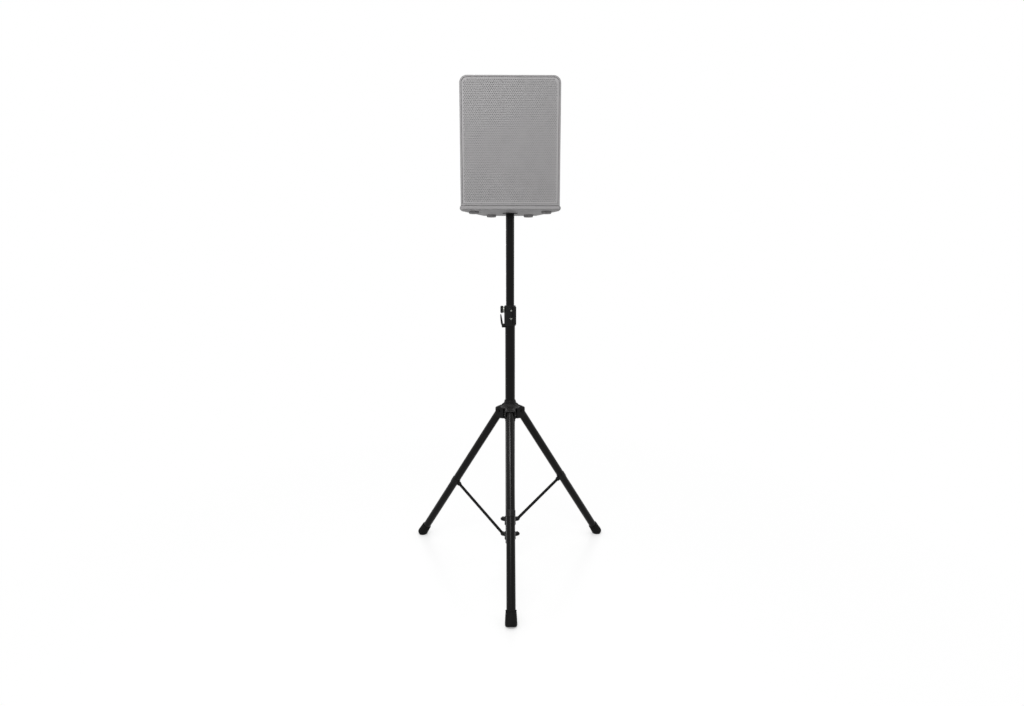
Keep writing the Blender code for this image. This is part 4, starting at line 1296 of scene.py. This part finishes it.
class STAND_OT_cabinet(Operator):
    """The moulded cabinet, its bottom and its pole socket"""

    bl_idname = "stand.cabinet"
    bl_label = "Cabinet"

    def execute(self, context):
        size = context.scene.speaker_sizes
        floor = size.cap_height + GAP
        shell = cabinet_solid(size, 0, -size.front, floor)
        round_edges(shell, lies_on(1, size.rear), 0.012, 5)
        round_edges(shell, lies_on(1, -size.front), 0.0028, 4)
        inside = cabinet_solid(size, size.wall, -size.front - 0.1, floor + size.wall)
        socket_r = 0.0222
        cuts = [
            inside,
            rod("socket_hole", socket_r, 0, 0.06, sides=64),
            block("input_hole", (-0.05, 0.10, 0.100), (0.05, 0.16, 0.170)),
        ]
        for sign in (1, -1):
            hole = cushion_block("handle_hole", (-0.03, -0.0655, -0.0445), (0.03, 0.0655, 0.0445), 0.010)
            cuts.append(place(hole, handle_frame(size, sign)))
        carve(shell, *cuts)
        lip_x = size.half_width - size.wall + 0.0002
        lip_z = size.height - size.wall + 0.0002

        def inner_rim(edge):
            within = all(abs(v.co.x) < lip_x and v.co.z < lip_z for v in edge.verts)
            return within and lies_on(1, -size.front)(edge)

        round_edges(shell, inner_rim, 0.0012, 2)
        place(shell, SPEAKER)
        dress(shell, "cabinet_moulded", "speaker", "grey_shell", "shell", "cabinet_shell")

        # The bottom stands a little proud of the sides, and its edges are well rounded
        plan = cabinet_plan(size, -size.cap_out, -size.front - 0.001)
        cap = standing("bottom", plan, 0, size.cap_height)
        round_edges(cap, runs_along(2), 0.010, 5)
        soften(cap, 0.0050, 4, 50)
        hollow = standing("hollow", cabinet_plan(size, 0.004, -size.front + 0.004), 0.007, 0.04)
        carve(cap, hollow, rod("socket_hole", socket_r, -0.02, 0.06, sides=64))
        place(cap, SPEAKER)
        dress(cap, "cabinet_bottom", "speaker", "grey_shell", "shell", "bottom_cap")

        depth = 0.0623
        bore = 0.0180
        socket_line = [
            (0, depth + 0.004),
            (0.0195, depth + 0.004),
            (0.0217, depth + 0.002),
            (0.0217, -GAP),
            (0.0310, -GAP),
            (0.0310, -0.0024),
            (0.0300, -0.0033),
            (0.0245, -0.0033),
            (0.0240, -0.0028),
            (0.0225, -0.0028),
            (0.0220, -0.0033),
            (bore + 0.0012, -0.0033),
            (bore, -0.0018),
            (bore, depth),
            (0, depth),
        ]
        socket = soften(place(lathe("socket", socket_line, 80), SPEAKER), 0.0004)
        dress(socket, "pole_socket_moulded", "speaker", *MOULDED, "pole_socket")
        return {"FINISHED"}


class STAND_OT_feet(Operator):
    """The four rubber feet, each with a sunk screw"""

    bl_idname = "stand.feet"
    bl_label = "Feet"

    def execute(self, context):
        recess = -0.0045
        profile = [
            (0, -GAP),
            (0.0200, -GAP),
            (0.0205, -0.0015),
            (0.0192, -0.0080),
            (0.0178, -0.0093),
            (0.0085, -0.0093),
            (0.0070, -0.0080),
            (0.0070, recess),
            (0, recess),
        ]
        foot = soften(lathe("foot", profile, 56), 0.0006, 3, 25)
        head = place(screw_head(0.0042, 0.0022), Matrix.Translation((0, 0, recess)) @ about_x(math.pi))
        for row in ("front", "rear"):
            for side in ("right", "left"):
                node = f"rubber_foot_{row}_{side}"
                centre = middle(node)
                at = Matrix.Translation((centre.x, centre.y, SPEAKER_Z))
                dress(copy_of(foot, at), f"foot_{row}_{side}", "speaker", "grey_rubber", "grey_rubber", node)
                dress(copy_of(head, at), f"foot_screw_{row}_{side}", "speaker", "zinc", "zinc")
        discard(foot)
        discard(head)
        return {"FINISHED"}


def inside_line(outline):
    """The planes of a convex outline in XZ, each a point and a normal that points out."""
    planes = []
    for (x, z), (next_x, next_z) in zip(outline, [*outline[1:], outline[0]]):
        step = Vector((next_x - x, 0, next_z - z))
        if step.length > WELD:
            planes.append((Vector((x, 0, z)), Vector((step.z, 0, -step.x)).normalized()))
    return planes


def trim(piece, planes):
    """Cuts away all of a flat piece that lies outside some planes."""
    with editing(piece):
        for point, normal in planes:
            bpy.ops.mesh.select_all(action="SELECT")
            bpy.ops.mesh.bisect(plane_co=point, plane_no=normal, clear_outer=True)


def depth_inside(planes, point):
    return min((at - point).dot(normal) for at, normal in planes)


class STAND_OT_grille(Operator):
    """The perforated steel grille and the foam behind it"""

    bl_idname = "stand.grille"
    bl_label = "Grille"

    def execute(self, context):
        size = context.scene.speaker_sizes
        inset = size.wall + 0.0010
        bottom = size.cap_height + GAP + inset
        opening = inside_line(cabinet_face(size, inset, bottom, 7))
        pitch = size.grille_pitch
        row = pitch * math.sqrt(3) / 2

        # A sheet of hexagons, made from two and trimmed to the front opening
        clear_selection()
        bpy.ops.mesh.primitive_circle_add(
            vertices=6, radius=pitch / math.sqrt(3), fill_type="NGON", rotation=(QUARTER, 0, 0)
        )
        grille = bpy.context.object
        bpy.ops.object.transform_apply(location=True, rotation=True, scale=True)
        with editing(grille):
            bpy.ops.mesh.duplicate_move(TRANSFORM_OT_translate={"value": (pitch / 2, 0, row)})
        across = int(2 * size.half_width / pitch) + 2
        up = int(size.height / (2 * row)) + 2
        for number, step in ((across, (pitch, 0, 0)), (up, (0, 0, 2 * row))):
            apply_modifier(
                grille,
                "ARRAY",
                count=number,
                use_relative_offset=False,
                use_constant_offset=True,
                constant_offset_displace=step,
            )
        place(grille, Matrix.Translation((-(across - 0.5) * pitch / 2 + pitch / 2, 0, bottom - pitch / 2)))
        with editing(grille):
            bpy.ops.mesh.remove_doubles(threshold=0.00001)
        trim(grille, opening)

        def in_border(face):
            return depth_inside(opening, face.calc_center_median()) > size.grille_border

        def on_rim(edge):
            return edge.is_boundary and all(depth_inside(opening, v.co) < 0.0001 for v in edge.verts)

        with editing(grille):
            pick(grille, "FACE", in_border)
            bpy.ops.mesh.inset(thickness=size.grille_web / 2, use_individual=True)
            bpy.ops.mesh.delete(type="FACE")
            # The edge of the sheet is folded back
            pick(grille, "EDGE", on_rim)
            bpy.ops.mesh.extrude_edges_move(TRANSFORM_OT_translate={"value": (0, 0.0024, 0)})
        apply_modifier(grille, "SOLIDIFY", thickness=0.0011, offset=-1.0)
        place(grille, SPEAKER @ Matrix.Translation((0, 0.0020 - size.front, 0)))
        dress(grille, "grille_perforated", "speaker", "grey_steel", "grille_coat", "front_grille")

        # Foam, a little uneven, as it lies against the back of the sheet
        inset += 0.0014
        edges = inside_line(cabinet_face(size, inset, size.cap_height + GAP + inset, 7))
        clear_selection()
        bpy.ops.mesh.primitive_grid_add(
            x_subdivisions=64,
            y_subdivisions=80,
            size=0.5,
            location=(0, 0, size.height / 2),
            rotation=(QUARTER, 0, 0),
        )
        foam = bpy.context.object
        bpy.ops.object.transform_apply(location=True, rotation=True, scale=True)
        trim(foam, edges)
        apply_modifier(foam, "SOLIDIFY", thickness=0.0042, offset=-1.0)
        swell = bpy.data.textures.new("foam_swell", "CLOUDS")
        swell.noise_scale = 0.02
        uneven = {"strength": 0.0005, "mid_level": 1.0, "texture_coords": "LOCAL"}
        apply_modifier(foam, "DISPLACE", texture=swell, **uneven)
        place(foam, SPEAKER @ Matrix.Translation((0, 0.0039 - size.front, 0)))
        dress(foam, "grille_foam_sheet", "speaker", "foam", "foam", "grille_foam")
        return {"FINISHED"}


class STAND_OT_handles(Operator):
    """The handle cups sunk in the slanted sides"""

    bl_idname = "stand.handles"
    bl_label = "Handle Cups"

    def execute(self, context):
        size = context.scene.speaker_sizes
        cup = cushion_block("cup", (-0.050, -0.065, -0.044), (0.0015, 0.065, 0.044), 0.010)
        face = 0.0033
        rim = cushion_block("rim", (GAP, -0.076, -0.055), (face, 0.076, 0.055), 0.020, 8)
        fuse(cup, soften(rim, 0.0018, 3))
        depth = -0.047
        hollow = cushion_block("hollow", (depth, -0.061, -0.040), (0.02, 0.061, 0.040), 0.013)
        round_edges(hollow, lies_on(0, depth), 0.011, 5)
        carve(cup, hollow)

        def mouth(edge):
            return lies_on(0, face)(edge) and all(abs(v.co.z) < 0.0405 for v in edge.verts)

        round_edges(cup, mouth, 0.0012, 3)
        for side, sign in (("right", 1), ("left", -1)):
            held = copy_of(cup, SPEAKER @ handle_frame(size, sign))
            dress(held, f"handle_{side}_moulded", "speaker", "grey_shell", "shell", f"handle_cup_{side}")
        discard(cup)
        return {"FINISHED"}


class STAND_OT_input(Operator):
    """The input plate on the back, its two sockets and four screws"""

    bl_idname = "stand.input"
    bl_label = "Input Plate"

    def execute(self, context):
        size = context.scene.speaker_sizes
        back = size.rear
        face = back + 0.003
        plate = block("plate", (-0.060, back + GAP, 0.090), (0.060, face, 0.180))
        round_edges(plate, runs_along(1), 0.006, 5)
        soften(plate, 0.0008, 2, 50)
        facing = Matrix.Translation((0, back, 0.135)) @ about_x(-QUARTER)
        socket_line = [
            (0, -0.0190),
            (0.0092, -0.0190),
            (0.0092, 0.0046),
            (0.0104, 0.0058),
            (0.0138, 0.0058),
            (0.0145, 0.0051),
            (0.0145, 0.0033),
            (0.0113, 0.0033),
            (0.0113, -0.0220),
            (0, -0.0220),
        ]
        socket = soften(lathe("socket", socket_line, 64), 0.0004)
        for turn in (0.0, QUARTER * 2):
            notch = block("notch", (0.0085, -0.0013, -0.004), (0.0108, 0.0013, 0.01))
            carve(socket, place(notch, about_z(turn)))
        for side, x in (("right", 0.026), ("left", -0.026)):
            aside = Matrix.Translation((x, 0, 0))
            carve(plate, rod("socket_hole", 0.0116, -0.02, 0.02, aside @ facing, 56))
            dress(
                copy_of(socket, SPEAKER @ aside @ facing),
                f"socket_{side}_moulded",
                "speaker",
                *MOULDED,
                f"input_socket_{side}",
            )
        place(plate, SPEAKER)
        dress(plate, "input_plate_coated", "speaker", *COATED, "input_plate")
        head = screw_head(0.0036, 0.0020)
        corners = [(x, z) for z in (0.098, 0.172) for x in (-0.052, 0.052)]
        for label, (x, z) in zip("abcd", corners):
            at = SPEAKER @ Matrix.Translation((x, face, z)) @ about_x(-QUARTER)
            dress(copy_of(head, at), f"input_screw_{label}", "speaker", "zinc", "zinc")
        discard(head)
        discard(socket)
        return {"FINISHED"}


class STAND_OT_drivers(Operator):
    """The woofer and the treble horn behind the grille"""

    bl_idname = "stand.drivers"
    bl_label = "Drivers"

    def execute(self, context):
        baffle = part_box("front_baffle")[0].y
        woofer = Matrix.Translation((0, baffle, middle("woofer_cone").z)) @ about_x(QUARTER)
        horn = Matrix.Translation((0, baffle, middle("horn_flare").z)) @ about_x(QUARTER)
        basket = [
            (0.1275, 0.0040),
            (0.1280, GAP),
            (0.1145, GAP),
            (0.1140, -0.0140),
            (0.0620, -0.0580),
            (0.0620, -0.0600),
            (0.0240, -0.0600),
            (0.0240, -0.0575),
            (0.0600, -0.0575),
            (0.1118, -0.0135),
            (0.1118, 0.0040),
        ]
        magnet = [
            (0, -0.0605),
            (0.0172, -0.0605),
            (0.0172, -0.0930),
            (0.0226, -0.0930),
            (0.0226, -0.0605),
            (0.0620, -0.0605),
            (0.0620, -0.0990),
            (0.0500, -0.1030),
            (0, -0.1030),
        ]
        dust_cap = [(0.0210 * z, -0.0250 + 0.0065 * x) for x, z in arc(0, 0, 1, 0, 90, 6)]
        under_cap = [(x, z - 0.0017) for x, z in dust_cap[-2::-1]]
        cone = [
            *dust_cap,
            *flowing([(0.0300, -0.0228), (0.0600, -0.0140), (0.0975, 0.0000)]),
            (0.0975, -0.0015),
            (0.0207, -0.0268),
            (0.0207, -0.0780),
            (0.0194, -0.0780),
            (0.0194, -0.0262),
            *under_cap,
        ]
        roll = [*arc(0.1047, 0, 0.0066, 180, 0, 14), *arc(0.1047, 0, 0.0053, 0, 180, 14)]
        depths = [0.0, -0.004, -0.008, -0.014, -0.022, -0.032, -0.046, -0.064]
        bell = [(0.0126 + 0.0464 * math.exp(depth / 0.022), depth) for depth in depths]
        outside = [(radius + 0.0018, depth) for radius, depth in bell[1:-1]]
        flare = [
            (0.0735, 0.0030),
            (0.0740, GAP),
            (0.0605, GAP),
            *outside,
            (0.0160, -0.0600),
            (0.0330, -0.0600),
            (0.0330, -0.0640),
            *bell[::-1],
            (0.0600, 0.0030),
        ]
        driver = [
            (0, -0.0760),
            (0.0128, -0.0760),
            (0.0128, -0.0643),
            (0.0310, -0.0643),
            (0.0430, -0.0680),
            (0.0430, -0.1080),
            (0.0400, -0.1120),
            (0, -0.1120),
        ]
        pieces = (
            (basket, woofer, "basket_pressed", "speaker", "basket_steel", "ferrite", "woofer_basket"),
            (magnet, woofer, "magnet_turned", "speaker", "ferrite", "ferrite", "woofer_magnet"),
            (cone, woofer, "cone_paper", "cone", "paper", "paper", "woofer_cone"),
            (roll, woofer, "surround_rubber", "speaker", "rubber", "rubber", "woofer_surround"),
            (flare, horn, "horn_moulded", "speaker", "baffle_black", "baffle", "horn_flare"),
            (driver, horn, "driver_turned", "speaker", "ferrite", "ferrite", "compression_driver"),
        )
        for profile, at, name, body, slot, finish, node in pieces:
            piece = place(lathe(name, profile, 72), at)
            soften(piece, 0.0005, 2, 45)
            dress(piece, name, body, slot, finish, node)
        return {"FINISHED"}


class STAND_OT_hidden_pieces(Operator):
    """Finishes for the solids that stay as they are, inside the tubes and the cabinet"""

    bl_idname = "stand.hidden_pieces"
    bl_label = "Hidden Pieces"

    def execute(self, context):
        kept = {
            "pole_top_plug": "nylon",
            "pole_guide": "nylon",
            "lever_pin": "powder_coat",
            "front_baffle": "baffle",
            "crossover_board": "board",
        }
        for node, finish in kept.items():
            for slot in frame["nodes"][node].material_slots:
                slot.material = FINISHES[finish]
        return {"FINISHED"}


# The stage


def seen_directly(tree):
    """One where a surface is seen by the camera, in a reflection or through glass."""
    path = add_node(tree, "ShaderNodeLightPath").outputs
    straight = maths(tree, "MAXIMUM", path["Is Camera Ray"], path["Is Glossy Ray"])
    return maths(tree, "MAXIMUM", straight, path["Is Transmission Ray"])


def floor_finish():
    """White, with a soft shadow and a faint reflection near what stands on it, and plain white far off."""
    material = bpy.data.materials.new("floor_white")
    material.use_nodes = True
    tree = material.node_tree
    tree.nodes.clear()

    def shader(kind, **inputs):
        return add_node(tree, kind, inputs).outputs[0]

    def mix(factor, first, second):
        return add_node(tree, "ShaderNodeMixShader", {0: factor, 1: first, 2: second}).outputs[0]

    plain = (1, 1, 1, 1)
    away = vector_maths(tree, "LENGTH", surface_place(tree), (0, 0, 0), "Value")
    lit = shader("ShaderNodeBsdfDiffuse", Color=(0.90, 0.90, 0.90, 1))
    white = shader("ShaderNodeEmission", Color=plain, Strength=1.0)
    gloss = shader("ShaderNodeBsdfGlossy", Color=plain, Roughness=0.30)
    bright = shader("ShaderNodeEmission", Color=plain, Strength=1.02)
    nearby = add_node(tree, "ShaderNodeAmbientOcclusion", {"Distance": 0.07}, samples=8).outputs["AO"]
    contact = spread(tree, nearby, 0.25, 0.95, 0.30, 0.90)
    polished = mix(0.05, mix(contact, lit, bright), gloss)
    faded = mix(spread(tree, away, 0.7, 2.2), polished, white)
    seen = mix(seen_directly(tree), lit, faded)
    add_node(tree, "ShaderNodeOutputMaterial", {0: seen})
    return material


class STAND_OT_stage(Operator):
    """The white floor, the light and the camera"""

    bl_idname = "stand.stage"
    bl_label = "Stage"

    def lamp(self, name, place_at, target_z, power, wide, high):
        """A soft lamp that points at the mast's axis."""
        bpy.ops.object.light_add(type="AREA", location=place_at)
        lamp = bpy.context.object
        lamp.name = name
        lamp.data.shape = "RECTANGLE"
        lamp.data.size = wide
        lamp.data.size_y = high
        lamp.data.energy = power
        line = Vector((0, AXIS_Y, target_z)) - lamp.location
        lamp.rotation_euler = line.to_track_quat("-Z", "Y").to_euler()

    def execute(self, context):
        stage = context.scene.stand_stage
        clear_selection()
        bpy.ops.mesh.primitive_plane_add(size=80, location=(0, 0, -0.0004))
        floor = bpy.context.object
        floor.name = "floor"
        floor.data.materials.append(floor_finish())

        world = bpy.data.worlds.new("studio")
        world.use_nodes = True
        tree = world.node_tree
        tree.nodes.clear()
        strength = spread(tree, seen_directly(tree), 0.0, 1.0, stage.ambient, 1.0)
        light = add_node(tree, "ShaderNodeBackground", {"Color": (1, 1, 1, 1), "Strength": strength})
        add_node(tree, "ShaderNodeOutputWorld", {0: light.outputs[0]})
        context.scene.world = world

        clear_selection()
        self.lamp("key_lamp", (-0.62, -1.97, 2.83), 0.85, stage.key, 2.2, 0.32)
        self.lamp("front_lamp", (-0.30, -2.42, 2.28), 0.85, stage.key * 0.19, 1.3, 0.42)
        self.lamp("back_lamp", (0.0, 1.65, 3.00), 0.90, stage.key * 0.48, 1.6, 0.9)
        for side, x in (("right", 2.9), ("left", -2.9)):
            self.lamp(f"{side}_lamp", (x, -0.6, 2.4), 1.2, stage.key * 0.20, 1.2, 1.8)

        camera = bpy.data.objects.new("camera", bpy.data.cameras.new("camera"))
        context.scene.collection.objects.link(camera)
        camera.data.lens = stage.lens
        camera.data.sensor_width = 36.0
        camera.data.clip_end = 200.0
        camera.location = (-stage.aside, AXIS_Y - stage.distance, stage.height)
        camera.rotation_euler = (QUARTER - stage.pitch, 0, -stage.turn)
        context.scene.camera = camera
        context.scene.view_settings.view_transform = "Standard"
        return {"FINISHED"}


PIECES = (
    STAND_OT_finishes,
    STAND_OT_stage,
    STAND_OT_tubes,
    STAND_OT_legs,
    STAND_OT_boots,
    STAND_OT_struts,
    STAND_OT_brace_rings,
    STAND_OT_hub,
    STAND_OT_hub_knob,
    STAND_OT_collar,
    STAND_OT_lever,
    STAND_OT_locking_pin,
    STAND_OT_cabinet,
    STAND_OT_feet,
    STAND_OT_grille,
    STAND_OT_handles,
    STAND_OT_input,
    STAND_OT_drivers,
    STAND_OT_hidden_pieces,
)


class STAND_PT_pieces(Panel):
    """Lists the pieces of the stand and the loudspeaker"""

    bl_label = "Loudspeaker on a Stand"
    bl_idname = "STAND_PT_pieces"
    bl_space_type = "VIEW_3D"
    bl_region_type = "UI"
    bl_category = "Stand"

    def draw(self, context):
        column = self.layout.column()
        for piece in PIECES:
            column.operator(piece.bl_idname)


SETTINGS = {
    "stand_sizes": StandSizes,
    "speaker_sizes": SpeakerSizes,
    "stand_colours": Colours,
    "stand_stage": StageSettings,
}


def register():
    for part in (*SETTINGS.values(), *PIECES, STAND_PT_pieces):
        bpy.utils.register_class(part)
    for name, settings in SETTINGS.items():
        setattr(bpy.types.Scene, name, PointerProperty(type=settings))


def unregister():
    for name in SETTINGS:
        delattr(bpy.types.Scene, name)
    for part in (STAND_PT_pieces, *PIECES[::-1], *SETTINGS.values()):
        bpy.utils.unregister_class(part)


def main():
    register()
    for piece in PIECES:
        group, name = piece.bl_idname.split(".")
        getattr(getattr(bpy.ops, group), name)()
    clear_selection()


if __name__ == "__main__":
    main()
